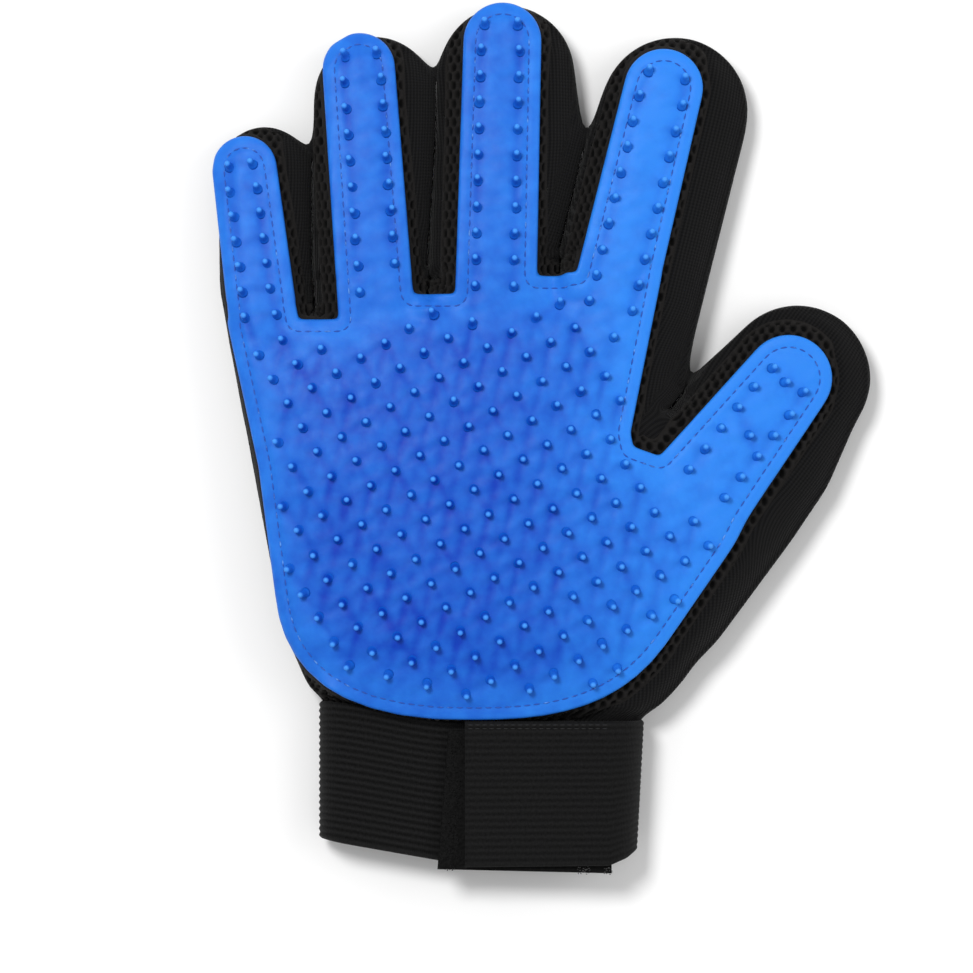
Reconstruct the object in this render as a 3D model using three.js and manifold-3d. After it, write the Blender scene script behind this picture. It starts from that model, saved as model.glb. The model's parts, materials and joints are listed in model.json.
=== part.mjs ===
// A pet grooming glove for the right hand, lying on its back with the nubs up.
// +X points to the thumb side, +Y to the fingertips and +Z up, in millimetres. The origin is under the
// middle of the glove, on the surface that it lies on.
import * as THREE from 'three';
import { mergeVertices } from 'three/addons/utils/BufferGeometryUtils.js';
import Module from 'manifold-3d';

const wasm = await Module();
wasm.setup();

// ---- Driving dimensions ----

const fabric = 2; // thickness of the knit and of the air mesh
const sag = 0.8; // how far the rounded underside would reach below the surface it lies on
const belly = 8; // height of the widest part of the hand and fingers
const seamHeight = 7.5; // the mesh panel and the pad stay above this height
const seamGap = 0.4; // between the mesh panel and the knit
const jointGap = 1; // between the pieces on each side of a finger's root
const padGap = 0.35; // between the mesh panel and the pad
const padThickness = 1.5;
const meshBorder = 4; // strip of air mesh that shows round the pad
const nub = { radius: 1.25, height: 3.3, sunk: 0.9, border: 4.6, rootClearance: 3.2 };
const lattice = { pitch: 7.62, tilt: THREE.MathUtils.degToRad(31.5), start: [1.63, -2.17], clearance: 5.6 };
const high = 60; // taller than anything in the glove
const smallestEdge = 0.02; // shorter edges than this, left by the cuts, are merged away
const roundness = { finger: 2.6, tip: 2.4, palm: 3 }; // superellipse exponents of the cross-sections
const fingertip = { rings: 5, extent: 0.94, flattening: 0.8 }; // share of the quarter turn, and power of its height
const crotchRise = 4; // the underside lifts this far at the front edge of the palm

// Each finger is a row of stations from inside the palm to the centre of the round fingertip. A station is
// its centre x and y, its half width and its height. The pad's prong runs from root to tip, and carries two
// columns of nubs, `spread` to each side of a line that is `aside` of its middle.
const fingers = [
  {
    name: 'pinky', angle: 0, hinge: [-73.5, 36.2], reach: [18, 12],
    stations: [[-68, 4, 12, 17], [-74.4, 40, 12.2, 16.5], [-74.6, 71.6, 12.4, 13.5]],
    prong: { root: [-74, 27], rootHalf: 9.4, tip: [-79.9, 72.5], tipHalf: 8.8 },
    nubs: { rows: 7, pitch: 6.8, first: -0.8, spread: 3.6, aside: -0.7 },
  },
  {
    name: 'ring', angle: 0, hinge: [-46, 42.7], reach: [15.8, 17],
    stations: [[-45.5, 8, 14.5, 18], [-46, 50, 15.2, 17.5], [-44.8, 92, 16.4, 14.5]],
    prong: { root: [-43.7, 28], rootHalf: 10.3, tip: [-49, 99.5], tipHalf: 9.8 },
    nubs: { rows: 10, pitch: 7.1, first: -3.4, spread: 4.9, aside: 0.9 },
  },
  {
    name: 'middle', angle: 0, hinge: [-12, 44.3], reach: [18.2, 23], rootReach: 17.2,
    stations: [[-13, 12, 16.5, 18.5], [-12.7, 50, 17.1, 18], [-8.2, 80, 19.4, 16.5], [-9, 98.4, 18.4, 14.5]],
    prong: { root: [-12.1, 33], rootHalf: 11, tip: [-10.2, 107], tipHalf: 10.5 },
    nubs: { rows: 11, pitch: 7.05, first: -4, spread: 5.1, aside: -0.5 },
  },
  {
    name: 'index', angle: -14, hinge: [25.2, 44.7], reach: [21, 21],
    stations: [[16, 8.2, 20.4, 19], [26.3, 49.4, 20.3, 18], [36.4, 88.2, 20, 14.5]],
    prong: { root: [17.8, 30], rootHalf: 11.3, tip: [33.3, 94.2], tipHalf: 10.6 },
    nubs: { rows: 10, pitch: 7.1, first: -3.2, spread: 5.8, aside: 0 },
  },
  {
    name: 'thumb', angle: -38.5, hinge: [54.4, -6.8], reach: [23.5, 30],
    stations: [[14.8, -52, 26, 20], [26, -38, 28, 21.5], [48, -11.9, 25.8, 19], [59.3, 1, 23.6, 17.5],
      [69.6, 15.8, 19.9, 15]],
    prong: { root: [36.1, -23.5], rootHalf: 15.3, tip: [67, 15.8], tipHalf: 11.7 },
    nubs: { rows: 6, pitch: 7.1, first: 0.7, spread: 6.1, aside: 0 },
  },
];
const thumbMiddleNubs = [[66, 14.6], [56.2, 0.5]];

// The hand from the wrist to the crotches of the fingers: left x and y, right x and y, and height.
const palmStations = [
  [-58.9, -77.5, 28.3, -77.5, 17.5],
  [-63.8, -65.5, 38.5, -66.5, 19.5],
  [-69.3, -53, 46, -56, 21.5],
  [-73.6, -32, 52, -36, 22.5],
  [-78, -8, 42, -8, 22.5],
  [-82, 14, 37, 11, 21],
  [-84.8, 27, 40, 32, 18.5],
  [-83, 32, 38, 42, 14.5],
];

// The pad's palm, round from the pinky side. It has straight runs between its corners, and the heel of the
// hand is two curves, each with two control points and an end.
const padCorners = {
  pinkySide: [[-84.6, 31.6], [-75.9, -8], [-71.4, -43]],
  heel: [-69.5, -62, -56, -77, -17.5, -76.2],
  heelToThumb: [5, -76.2, 21.5, -72.5, 33.5, -56],
  thumbSide: [[54.4, -25.7], [45, -18], [32.2, -5.3], [24.9, -2.7], [24.2, 1]],
  crotches: [[32.8, 44.2], [-12, 44.2], [-12, 38.4], [-44, 38.4], [-44, 31.6]],
};

// The wrist band is a flattened tube, cut open on the palm side under the strap's end.
const band = {
  left: -59.6, right: 28.2, top: 14.5, thickness: 2.2, upper: -78, lower: [-108.6, -115.6, -111.8], slot: [9, 22],
};
const strap = { end: -20.3, bottom: 17.4, top: 19.6, fold: 26.2, upper: -78, lower: [-115.8, -111.8] };
const hookTape = { left: [-24.8, -27.8], right: 19.2, bottom: 15.9, top: 17, upper: -79, lower: [-116.4, -117.6] };
const loopPatch = { left: [-23.4, -24.2], right: 6, bottom: 14.85, top: 15.5, upper: -80, lower: [-110, -112] };

const colours = {
  silicone: 0x2f6fe0, mesh: 0x1b1b1d, knit: 0x161617, elastic: 0x19191a, hook: 0x202022, loop: 0x121213,
};

// ---- Solids ----

function solid(geometry) {
  geometry.deleteAttribute('normal');
  geometry.deleteAttribute('uv');
  const merged = mergeVertices(geometry, 1e-4);
  return new wasm.Manifold(new wasm.Mesh({
    numProp: 3,
    vertProperties: merged.attributes.position.array,
    triVerts: new Uint32Array(merged.index.array),
  }));
}

const join = (solids) => solids.reduce((whole, piece) => whole.add(piece));

// The body that a cut is meant to leave, without crumbs and with slivers of its faces merged.
function mainBody(shape) {
  const largest = shape.decompose().reduce((a, b) => (a.volume() > b.volume() ? a : b));
  return largest.simplify(smallestEdge);
}

// A closed skin over rings that all have the same number of points, with flat ends.
function loft(rings) {
  const sides = rings[0].length;
  const positions = rings.flat().flatMap((point) => point.toArray());
  const faces = [];
  for (let r = 0; r < rings.length - 1; r += 1) {
    for (let s = 0; s < sides; s += 1) {
      const next = (s + 1) % sides;
      const [a, b] = [r * sides + s, r * sides + next];
      faces.push(a, b + sides, b, a, a + sides, b + sides);
    }
  }
  for (const [ring, flip] of [[0, false], [rings.length - 1, true]]) {
    const start = ring * sides;
    for (let s = 1; s < sides - 1; s += 1) {
      faces.push(start, start + (flip ? s + 1 : s), start + (flip ? s : s + 1));
    }
  }
  const geometry = new THREE.BufferGeometry();
  geometry.setAttribute('position', new THREE.Float32BufferAttribute(positions, 3));
  geometry.setIndex(faces);
  return solid(geometry);
}

// A superellipse that stands upright, across the direction `across`.
function section(centre, across, half, low, top, exponent) {
  const sides = 20;
  const power = (value) => Math.sign(value) * Math.abs(value) ** (2 / exponent);
  return Array.from({ length: sides }, (_, i) => {
    const turn = (2 * Math.PI * (i + 0.5)) / sides;
    const up = power(Math.sin(turn));
    const side = half * power(Math.cos(turn));
    const z = belly + up * (up > 0 ? top - belly : belly - low);
    return new THREE.Vector3(centre[0] + across.x * side, centre[1] + across.y * side, z);
  });
}

function fingerDirections(finger) {
  const turn = THREE.MathUtils.degToRad(finger.angle);
  return {
    along: new THREE.Vector2(-Math.sin(turn), Math.cos(turn)),
    across: new THREE.Vector2(Math.cos(turn), Math.sin(turn)),
  };
}

// A finger's full volume from inside the palm to its round tip, swollen by `grow`.
function fingerForm(finger, grow, low) {
  const { along, across } = fingerDirections(finger);
  const rings = finger.stations.slice(0, -1).map(
    ([x, y, half, top]) => section([x, y], across, half + grow, low, top + grow, roundness.finger),
  );
  const [x, y, half, top] = finger.stations.at(-1);
  for (let i = 0; i <= fingertip.rings; i += 1) {
    const turn = (fingertip.extent * Math.PI * i) / (2 * fingertip.rings);
    const reach = (half + grow) * Math.sin(turn);
    const centre = [x + along.x * reach, y + along.y * reach];
    const shrink = Math.cos(turn) ** fingertip.flattening;
    const ringTop = belly + (top + grow - belly) * shrink;
    const ringLow = belly - (belly - low) * shrink;
    rings.push(section(centre, across, (half + grow) * Math.cos(turn), ringLow, ringTop, roundness.tip));
  }
  return loft(rings);
}

function palmForm(grow, low, wristReach) {
  return loft(palmStations.map(([leftX, leftY, rightX, rightY, top], i) => {
    const bottom = i === palmStations.length - 1 ? low + crotchRise : low;
    const across = new THREE.Vector2(rightX - leftX, rightY - leftY);
    const half = across.length() / 2 + grow;
    const centre = [(leftX + rightX) / 2, (leftY + rightY) / 2 - (i === 0 ? wristReach : 0)];
    return section(centre, across.normalize(), half, bottom, top + grow, roundness.palm);
  }));
}

function handForm(grow, low, wristReach = 0) {
  return join([palmForm(grow, low, wristReach), ...fingers.map((finger) => fingerForm(finger, grow, low))]);
}

// An upright prism between two heights over a flat outline.
function prism(shape, bottom, top, curveSegments = 10) {
  const geometry = new THREE.ExtrudeGeometry(shape, { depth: top - bottom, bevelEnabled: false, curveSegments });
  return solid(geometry.translate(0, 0, bottom));
}

function box(left, right, front, back, bottom, top) {
  const geometry = new THREE.BoxGeometry(right - left, back - front, top - bottom);
  return solid(geometry.translate((left + right) / 2, (front + back) / 2, (bottom + top) / 2));
}

// Everything beyond a finger's hinge, as wide as that finger's own share of the space. The share can be
// narrower at the root, where the next finger's root comes close.
function fingerZone({ reach: [left, right], rootReach = right, hinge, angle }, margin) {
  const [widened, far] = [30, 120];
  const shape = new THREE.Shape();
  shape.moveTo(-left - margin, -margin);
  shape.lineTo(rootReach + margin, -margin);
  shape.lineTo(right + margin, widened);
  shape.lineTo(right + margin, far);
  shape.lineTo(-left - margin, far);
  const geometry = new THREE.ExtrudeGeometry(shape, { depth: 2 * high, bevelEnabled: false });
  geometry.translate(0, 0, -high);
  geometry.rotateZ(THREE.MathUtils.degToRad(angle));
  return solid(geometry.translate(...hinge, 0));
}

// ---- The pad's outline ----

function prongOutline({ root, rootHalf, tip, tipHalf }, grow) {
  const direction = new THREE.Vector2(tip[0] - root[0], tip[1] - root[1]);
  const turn = direction.angle();
  const taper = Math.asin((rootHalf - tipHalf) / direction.length());
  const half = tipHalf + grow;
  const shape = new THREE.Shape();
  const side = (sign) => {
    const out = turn - sign * (Math.PI / 2 - taper);
    return [root[0] + (rootHalf + grow) * Math.cos(out), root[1] + (rootHalf + grow) * Math.sin(out)];
  };
  shape.moveTo(...side(-1));
  shape.lineTo(...side(1));
  shape.absarc(tip[0], tip[1], half, turn - Math.PI / 2 + taper, turn + Math.PI / 2 - taper, false);
  return shape;
}

function palmOutline(grow) {
  const { pinkySide, heel, heelToThumb, thumbSide, crotches } = padCorners;
  const [start, ...left] = pinkySide;
  const shape = new THREE.Shape();
  shape.moveTo(...start);
  left.forEach((point) => shape.lineTo(...point));
  shape.bezierCurveTo(...heel);
  shape.bezierCurveTo(...heelToThumb);
  [...thumbSide, ...crotches].forEach((point) => shape.lineTo(...point));
  if (grow === 0) return shape;
  return new THREE.Shape(offsetOutline(shape.getPoints(8), grow));
}

// Each corner moves out along the mean of its two edges' normals, as far as keeps the edges parallel.
function offsetOutline(points, grow) {
  const outward = (a, b) => new THREE.Vector2(b.y - a.y, a.x - b.x).normalize();
  return points.map((point, i) => {
    const before = outward(points.at(i - 1), point);
    const after = outward(point, points[(i + 1) % points.length]);
    const mean = before.clone().add(after).normalize();
    return point.clone().addScaledVector(mean, grow / Math.max(0.5, mean.dot(after)));
  });
}

function footprint(grow, bottom = seamHeight) {
  const shapes = [palmOutline(grow), ...fingers.map((finger) => prongOutline(finger.prong, grow))];
  return join(shapes.map((shape) => prism(shape, bottom, high)));
}

// ---- The nubs ----

function distanceToEdge(points, x, y) {
  const here = new THREE.Vector3(x, y, 0);
  const nearest = new THREE.Vector3();
  return Math.min(...points.map((point, i) => {
    const next = points[(i + 1) % points.length];
    const edge = new THREE.Line3(new THREE.Vector3(point.x, point.y, 0), new THREE.Vector3(next.x, next.y, 0));
    return edge.closestPointToPoint(here, true, nearest).distanceTo(here);
  }));
}

function contains(points, x, y) {
  let inside = false;
  points.forEach((a, i) => {
    const b = points[(i + 1) % points.length];
    if (a.y > y !== b.y > y && x < a.x + ((b.x - a.x) * (y - a.y)) / (b.y - a.y)) inside = !inside;
  });
  return inside;
}

// Distance beyond a finger's hinge line, and to the side of the hinge point.
function fingerPlace(finger, x, y) {
  const { along, across } = fingerDirections(finger);
  const from = new THREE.Vector2(x - finger.hinge[0], y - finger.hinge[1]);
  return { beyond: from.dot(along), aside: from.dot(across) };
}

// Two columns down a prong, from its tip to just inside the palm. The end pair stands closer together.
function prongNubs({ prong: { root, tip }, nubs: { rows, pitch, first, spread, aside } }) {
  const down = new THREE.Vector2(root[0] - tip[0], root[1] - tip[1]).normalize();
  const across = new THREE.Vector2(-down.y, down.x);
  return Array.from({ length: rows }, (_, row) => [-1, 1].map((side) => {
    const distance = first + row * pitch;
    const offset = aside + side * spread * (row === 0 ? 0.85 : 1);
    return [tip[0] + down.x * distance + across.x * offset, tip[1] + down.y * distance + across.y * offset];
  })).flat();
}

// A square lattice over the palm, turned so that its rows climb to the thumb side.
function latticeNubs(taken) {
  const outline = palmOutline(0).getPoints(8);
  const { pitch, tilt, start, clearance } = lattice;
  const row = new THREE.Vector2(Math.cos(tilt), Math.sin(tilt)).multiplyScalar(pitch);
  const column = new THREE.Vector2(-row.y, row.x);
  const places = [];
  for (let i = -15; i <= 15; i += 1) {
    for (let j = -15; j <= 15; j += 1) {
      const x = start[0] + i * row.x + j * column.x;
      const y = start[1] + i * row.y + j * column.y;
      const crowded = taken.some((place) => Math.hypot(place[0] - x, place[1] - y) < clearance);
      const within = contains(outline, x, y) && distanceToEdge(outline, x, y) > nub.border;
      if (within && !crowded) places.push([x, y]);
    }
  }
  return places;
}

const onFinger = (finger) => ([x, y]) => {
  const { beyond, aside } = fingerPlace(finger, x, y);
  const [left, right] = finger.reach;
  return beyond > nub.rootClearance && aside > -left && aside < right;
};

const onPalm = ([x, y]) => fingers.every((finger) => {
  const { beyond, aside } = fingerPlace(finger, x, y);
  const [left, right] = finger.reach;
  return beyond < -nub.rootClearance || aside < -left || aside > right;
});

const columnNubs = [...fingers.flatMap(prongNubs), ...thumbMiddleNubs];
const nubPlaces = [...columnNubs, ...latticeNubs(columnNubs)];

// A nub stands on the pad where a plumb line meets it, and leans with the surface.
function nubsOn(surface, places) {
  const mesh = new THREE.Mesh(geometryOf(surface));
  const down = new THREE.Vector3(0, 0, -1);
  return places.flatMap(([x, y]) => {
    const [hit] = new THREE.Raycaster(new THREE.Vector3(x, y, high), down).intersectObject(mesh);
    if (!hit) return [];
    const lean = hit.face.normal.clone().lerp(new THREE.Vector3(0, 0, 1), 0.4).normalize();
    const cone = new THREE.ConeGeometry(nub.radius, nub.height + nub.sunk, 5);
    cone.translate(0, (nub.height - nub.sunk) / 2, 0);
    cone.applyQuaternion(new THREE.Quaternion().setFromUnitVectors(new THREE.Vector3(0, 1, 0), lean));
    return [solid(cone.translate(...hit.point.toArray()))];
  });
}

// ---- The glove's fabrics and pad, cut at the finger roots ----

function geometryOf(shape) {
  const { vertProperties, triVerts } = shape.getMesh();
  const geometry = new THREE.BufferGeometry();
  geometry.setAttribute('position', new THREE.BufferAttribute(new Float32Array(vertProperties), 3));
  geometry.setIndex(new THREE.BufferAttribute(new Uint32Array(triVerts), 1));
  geometry.computeVertexNormals();
  return geometry;
}

const above = box(-200, 200, -200, 200, 0, high);
const palmShare = (shape) => fingers.reduce(
  (rest, finger) => rest.subtract(fingerZone(finger, jointGap)), shape,
);

// Neighbouring fingers overlap a little inside the palm, so each finger is made from its own form only.
function skins(form) {
  const outer = form(0, -sag).intersect(above);
  const shell = outer.subtract(form(-fabric, fabric - 0.3, 10));
  return {
    mesh: shell.intersect(footprint(meshBorder)),
    knit: shell.subtract(footprint(meshBorder + seamGap, seamHeight - seamGap)),
    pad: form(padGap + padThickness, -sag).subtract(form(padGap, -sag, 5)).intersect(footprint(0)),
  };
}

const hand = skins(handForm);
const palmParts = {
  mesh: mainBody(palmShare(hand.mesh)),
  knit: mainBody(palmShare(hand.knit)),
  pad: mainBody(palmShare(hand.pad)),
};
palmParts.pad = join([palmParts.pad, ...nubsOn(palmParts.pad, nubPlaces.filter(onPalm))]);

function fingerParts(finger) {
  const parts = skins((grow, low) => fingerForm(finger, grow, low));
  const zone = fingerZone(finger, 0);
  const beyond = (shape) => mainBody(shape.intersect(zone));
  const pad = beyond(parts.pad);
  const nubs = nubsOn(pad, nubPlaces.filter(onFinger(finger)));
  return { mesh: beyond(parts.mesh), knit: beyond(parts.knit), pad: join([pad, ...nubs]) };
}

// ---- The wrist band, the strap's end and its fastening ----

const upright = (shape, front, back) => {
  const geometry = new THREE.ExtrudeGeometry(shape, { depth: back - front, bevelEnabled: false, curveSegments: 8 });
  return solid(geometry.rotateX(Math.PI / 2).translate(0, back, 0));
};

function bandOutline(inset) {
  const [left, right] = [band.left + inset, band.right - inset];
  const [bottom, top] = [inset, band.top - inset];
  const radius = (top - bottom) / 2;
  const shape = new THREE.Shape();
  shape.absarc(left + radius, bottom + radius, radius, Math.PI / 2, 1.5 * Math.PI, false);
  shape.absarc(right - radius, bottom + radius, radius, -Math.PI / 2, Math.PI / 2, false);
  return shape;
}

// Everything in front of a row of points, which trims a lower edge.
function inFront(points) {
  const reach = 200;
  const shape = new THREE.Shape();
  shape.moveTo(-reach, points[0][1]);
  points.forEach((point) => shape.lineTo(...point));
  shape.lineTo(reach, points.at(-1)[1]);
  shape.lineTo(reach, -reach);
  shape.lineTo(-reach, -reach);
  return prism(shape, -1, high);
}

function wristBand() {
  const { left, right, top, thickness, upper, lower, slot } = band;
  const front = Math.min(...lower);
  const tube = upright(bandOutline(0), front, upper);
  const hollow = upright(bandOutline(thickness), front - 1, upper + 1);
  const opening = box(...slot, front - 1, upper + 1, top - 1.5 * thickness, high);
  const edge = inFront([[left, lower[0]], [strap.end, lower[1]], [right, lower[2]]]);
  return tube.subtract(hollow).subtract(opening).subtract(edge);
}

// The strap's end lies flat over the band and turns down at the thumb side.
function strapEnd() {
  const { end, bottom, top, fold, upper, lower } = strap;
  const thickness = top - bottom;
  const turn = fold - 6.5; // where the bend starts
  const drop = 2.6; // how far the strap turns down
  const shape = new THREE.Shape();
  shape.moveTo(end, bottom);
  shape.lineTo(turn, bottom);
  shape.quadraticCurveTo(turn + 4, bottom, fold - thickness * 0.4, bottom - drop);
  shape.lineTo(fold + thickness * 0.5, bottom - drop + thickness * 0.75);
  shape.quadraticCurveTo(turn + 5.5, top, turn, top);
  shape.lineTo(end, top);
  return upright(shape, Math.min(...lower), upper).subtract(inFront([[end, lower[0]], [fold, lower[1]]]));
}

function flatPiece({ left, right, bottom, top, upper, lower }) {
  const shape = new THREE.Shape();
  shape.moveTo(left[1], lower[0]);
  shape.lineTo(right, lower[1]);
  shape.lineTo(right, upper);
  shape.lineTo(left[0], upper);
  return prism(shape, bottom, top);
}

// ---- The assembly ----

function piece(name, shape, colour, roughness) {
  const material = new THREE.MeshStandardMaterial({ color: colour, roughness, metalness: 0 });
  const mesh = new THREE.Mesh(geometryOf(shape), material);
  mesh.name = name;
  return mesh;
}

function gloveSection(name, { mesh, knit, pad }) {
  const group = new THREE.Group();
  group.add(piece(`${name}_mesh_panel`, mesh, colours.mesh, 0.95));
  group.add(piece(`${name}_knit_back`, knit, colours.knit, 0.9));
  group.add(piece(`${name}_brush_pad`, pad, colours.silicone, 0.45));
  return group;
}

const glove = new THREE.Group();
glove.add(gloveSection('palm', palmParts));
fingers.forEach((finger) => glove.add(gloveSection(finger.name, fingerParts(finger))));
glove.add(piece('wrist_band', wristBand(), colours.elastic, 0.9));
glove.add(piece('loop_patch', flatPiece(loopPatch), colours.loop, 0.95));
glove.add(piece('hook_tape', flatPiece(hookTape), colours.hook, 0.7));
glove.add(piece('strap_end', strapEnd(), colours.elastic, 0.9));

export default glove;
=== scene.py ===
"""The looks of a pet grooming glove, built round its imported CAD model.

The glove lies on its back. +X is the thumb side, +Y the fingertips and +Z up. Shapes are worked out in
millimetres on level grids laid over the glove, from heights and outlines measured on the CAD nodes.
"""
import json
import math

import bmesh
import bpy
import numpy as np
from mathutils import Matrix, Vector
from mathutils.bvhtree import BVHTree
from mathutils.kdtree import KDTree


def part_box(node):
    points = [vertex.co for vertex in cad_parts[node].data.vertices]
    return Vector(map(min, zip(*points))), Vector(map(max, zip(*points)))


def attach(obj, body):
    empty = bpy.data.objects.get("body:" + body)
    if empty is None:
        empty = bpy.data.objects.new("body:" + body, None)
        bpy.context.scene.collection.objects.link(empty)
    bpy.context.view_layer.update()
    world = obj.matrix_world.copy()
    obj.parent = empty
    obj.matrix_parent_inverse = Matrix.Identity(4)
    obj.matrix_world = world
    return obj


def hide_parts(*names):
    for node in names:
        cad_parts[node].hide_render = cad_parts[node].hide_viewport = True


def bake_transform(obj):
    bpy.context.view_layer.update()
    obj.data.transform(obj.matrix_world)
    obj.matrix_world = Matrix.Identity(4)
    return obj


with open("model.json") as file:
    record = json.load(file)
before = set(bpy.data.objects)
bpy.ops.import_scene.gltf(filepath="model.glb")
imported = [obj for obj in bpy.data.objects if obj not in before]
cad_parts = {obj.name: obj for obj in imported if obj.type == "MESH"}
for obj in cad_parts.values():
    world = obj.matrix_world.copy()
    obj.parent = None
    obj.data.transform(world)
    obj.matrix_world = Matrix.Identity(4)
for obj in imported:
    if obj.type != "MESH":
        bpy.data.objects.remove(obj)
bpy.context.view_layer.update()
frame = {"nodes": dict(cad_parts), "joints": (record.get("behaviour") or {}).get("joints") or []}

MM = 0.001
TURN = 2 * math.pi
HIGH = 60.0  # above everything, where plumb lines start
FINGERS = ("pinky", "ring", "middle", "index", "thumb")
BODIES = ("palm", *FINGERS)

# The hand and its fabrics
FABRIC_PITCH = 0.75  # spacing of the grid that the fabrics are made on
BELLY = 8.0  # height of the widest part of the hand and fingers
HALF_SLIT = 0.45  # half the slit between neighbouring fingers
BULGE = 0.42  # how far their sides bulge into it
BETWEEN = 3.0  # cloth this near to a finger, and to no nearer one, goes with it
ROUND_REACH = 14.0  # how far in from the outline the hand is rounded over
EDGE_REACH = 8.0  # how far in from the outline the grid is drawn towards it
CROWN_POWER = 2.6  # 2 would make the sides round, and more makes them squarer
OUTLINE_BLUR = 2.2  # how much the outline is softened, except between the fingers
BLUR_LOSS = 0.3  # how far that draws it in
HAND_MARGIN = 4.0  # the grids reach this far past the hand
ON_EDGE = 0.01  # a point this near to an outline is on it
MESH_BORDER = 3.8  # strip of air mesh that shows round the pad

# The brush pad
PAD_PITCH = 0.6  # spacing of the grid that it is made on
PAD_THICKNESS = 1.5
PAD_LIFT = 0.3  # gap under the pad
PAD_RIM = 0.75  # radius of its rounded edge
OVERHANG = 3.0  # the pad is stiffer than the fabric, so it is rounded over less
NUB_HEIGHT = 3.3
NUB_PITCH = 7.1
LINK = 8.6  # creases run between nubs that are nearer than this
LONG_LINK = 11.2  # or than this, along the hand
STITCH_INSET = 3.3  # from its edge to the stitching
SHEET_CLIMB = 0.3  # how far up a nub the painted shade round its foot reaches, as a share of its height; above it the colour is the sheet's own, up to the painted highlight at the tip

# Where each finger starts to bend, in millimetres beyond its hinge, and how long the bend is
BEND_START = {"pinky": -2.5, "ring": -2.0, "middle": 1.5, "index": -3.0, "thumb": 4.0}

# The wrist band and its strap, which are one ribbon that laps over itself on the palm side
WEBBING = 1.8  # thickness
RIB_PITCH = 1.78  # across the webbing
RIB_STEPS = 6  # points across each rib
TAPER = 1.9  # how far the fold slants in towards its lower edge
UPPER_EDGE = 1.5  # how far the band reaches over the strap's solid
BAND_CLIMB = 5.0  # how far its upper edge climbs on the little finger's side
BAND_SQUEEZE = 0.62  # share of the hand's height that it takes away
INNER_END = 9.0  # x of the band's end under the strap
LAP_RADIUS = 9.0  # of the ribbon's turn round the thumb side
WRIST_CUT = -84.0  # the fabrics end here, inside the wrist band
KNIT_WRAP = (34.0, 12.0)  # how much wider and longer than its plan the knit is cut, to go round the sides


def smoothstep(start, end, value):
    """A soft step from 0 to 1, as a value goes from start to end."""
    share = np.clip((value - start) / (end - start), 0, 1)
    return share * share * (3 - 2 * share)


# ---- Measuring the CAD nodes ----

def node_tree(*names):
    """A tree of the nodes' faces, in millimetres."""
    points, faces = [], []
    for name in names:
        mesh = frame["nodes"][name].data
        base = len(points)
        points += [v.co / MM for v in mesh.vertices]
        faces += [[base + i for i in p.vertices] for p in mesh.polygons]
    return BVHTree.FromPolygons(points, faces)


def plumb(tree, x, y):
    """Height of the highest face at a place, or None."""
    place = tree.ray_cast(Vector((x, y, HIGH)), Vector((0, 0, -1)))[0]
    return None if place is None else place.z


class Hinge:
    """A finger's hinge, with the directions along the finger and across it."""

    MARGIN = 0.3  # a finger is taken as this much bigger than its solids

    def __init__(self, finger):
        joint = next(j for j in frame["joints"] if j["child"] == finger)
        self.finger = finger
        self.place = np.array(joint["pos_m"][:2]) / MM
        self.across = np.array(joint["axis"][:2])
        self.along = np.array([-self.across[1], self.across[0]])
        nodes = (f"{finger}_mesh_panel", f"{finger}_knit_back", f"{finger}_brush_pad")
        corners = np.array([v.co[:2] for n in nodes for v in frame["nodes"][n].data.vertices]) / MM
        sides = (corners - self.place) @ self.across
        self.low, self.high = sides.min() - self.MARGIN, sides.max() + self.MARGIN
        self.tip = ((corners - self.place) @ self.along).max() + self.MARGIN

    def past(self, x, y):
        """Distance past the hinge, along the finger."""
        return (x - self.place[0]) * self.along[0] + (y - self.place[1]) * self.along[1]

    def beyond(self, x, y):
        """Distance past the line where the finger starts to bend."""
        return self.past(x, y) - BEND_START[self.finger]

    def aside(self, x, y):
        """Distance to one side of the hinge's middle."""
        return (x - self.place[0]) * self.across[0] + (y - self.place[1]) * self.across[1]

    def holds(self, x, y, slack=0.0):
        """True where a place is level with this finger and not with its neighbours."""
        side = self.aside(x, y)
        along = (self.beyond(x, y) > -slack) & (self.past(x, y) < self.tip + slack)
        return (side > self.low - slack) & (side < self.high + slack) & along


hinges = {finger: Hinge(finger) for finger in FINGERS}


class Region:
    """The plan of some CAD nodes, with the gaps closed where they are split at the finger roots."""

    GAP = 1.3  # just wider than the split

    def __init__(self, kinds):
        self.palm = node_tree(*[f"palm_{kind}" for kind in kinds])
        self.parts = {f: node_tree(*[f"{f}_{kind}" for kind in kinds]) for f in FINGERS}
        self.whole = node_tree(*[f"{body}_{kind}" for body in BODIES for kind in kinds])

    def holds(self, x, y):
        """True where a place is in the plan."""
        if plumb(self.whole, x, y) is not None:
            return True
        for finger, hinge in hinges.items():
            if abs(hinge.past(x, y)) > self.GAP:
                continue
            step = hinge.along * self.GAP
            ahead = plumb(self.parts[finger], x + step[0], y + step[1])
            if ahead is not None and plumb(self.palm, x - step[0], y - step[1]) is not None:
                return True
        return False


# ---- Level grids ----

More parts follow.
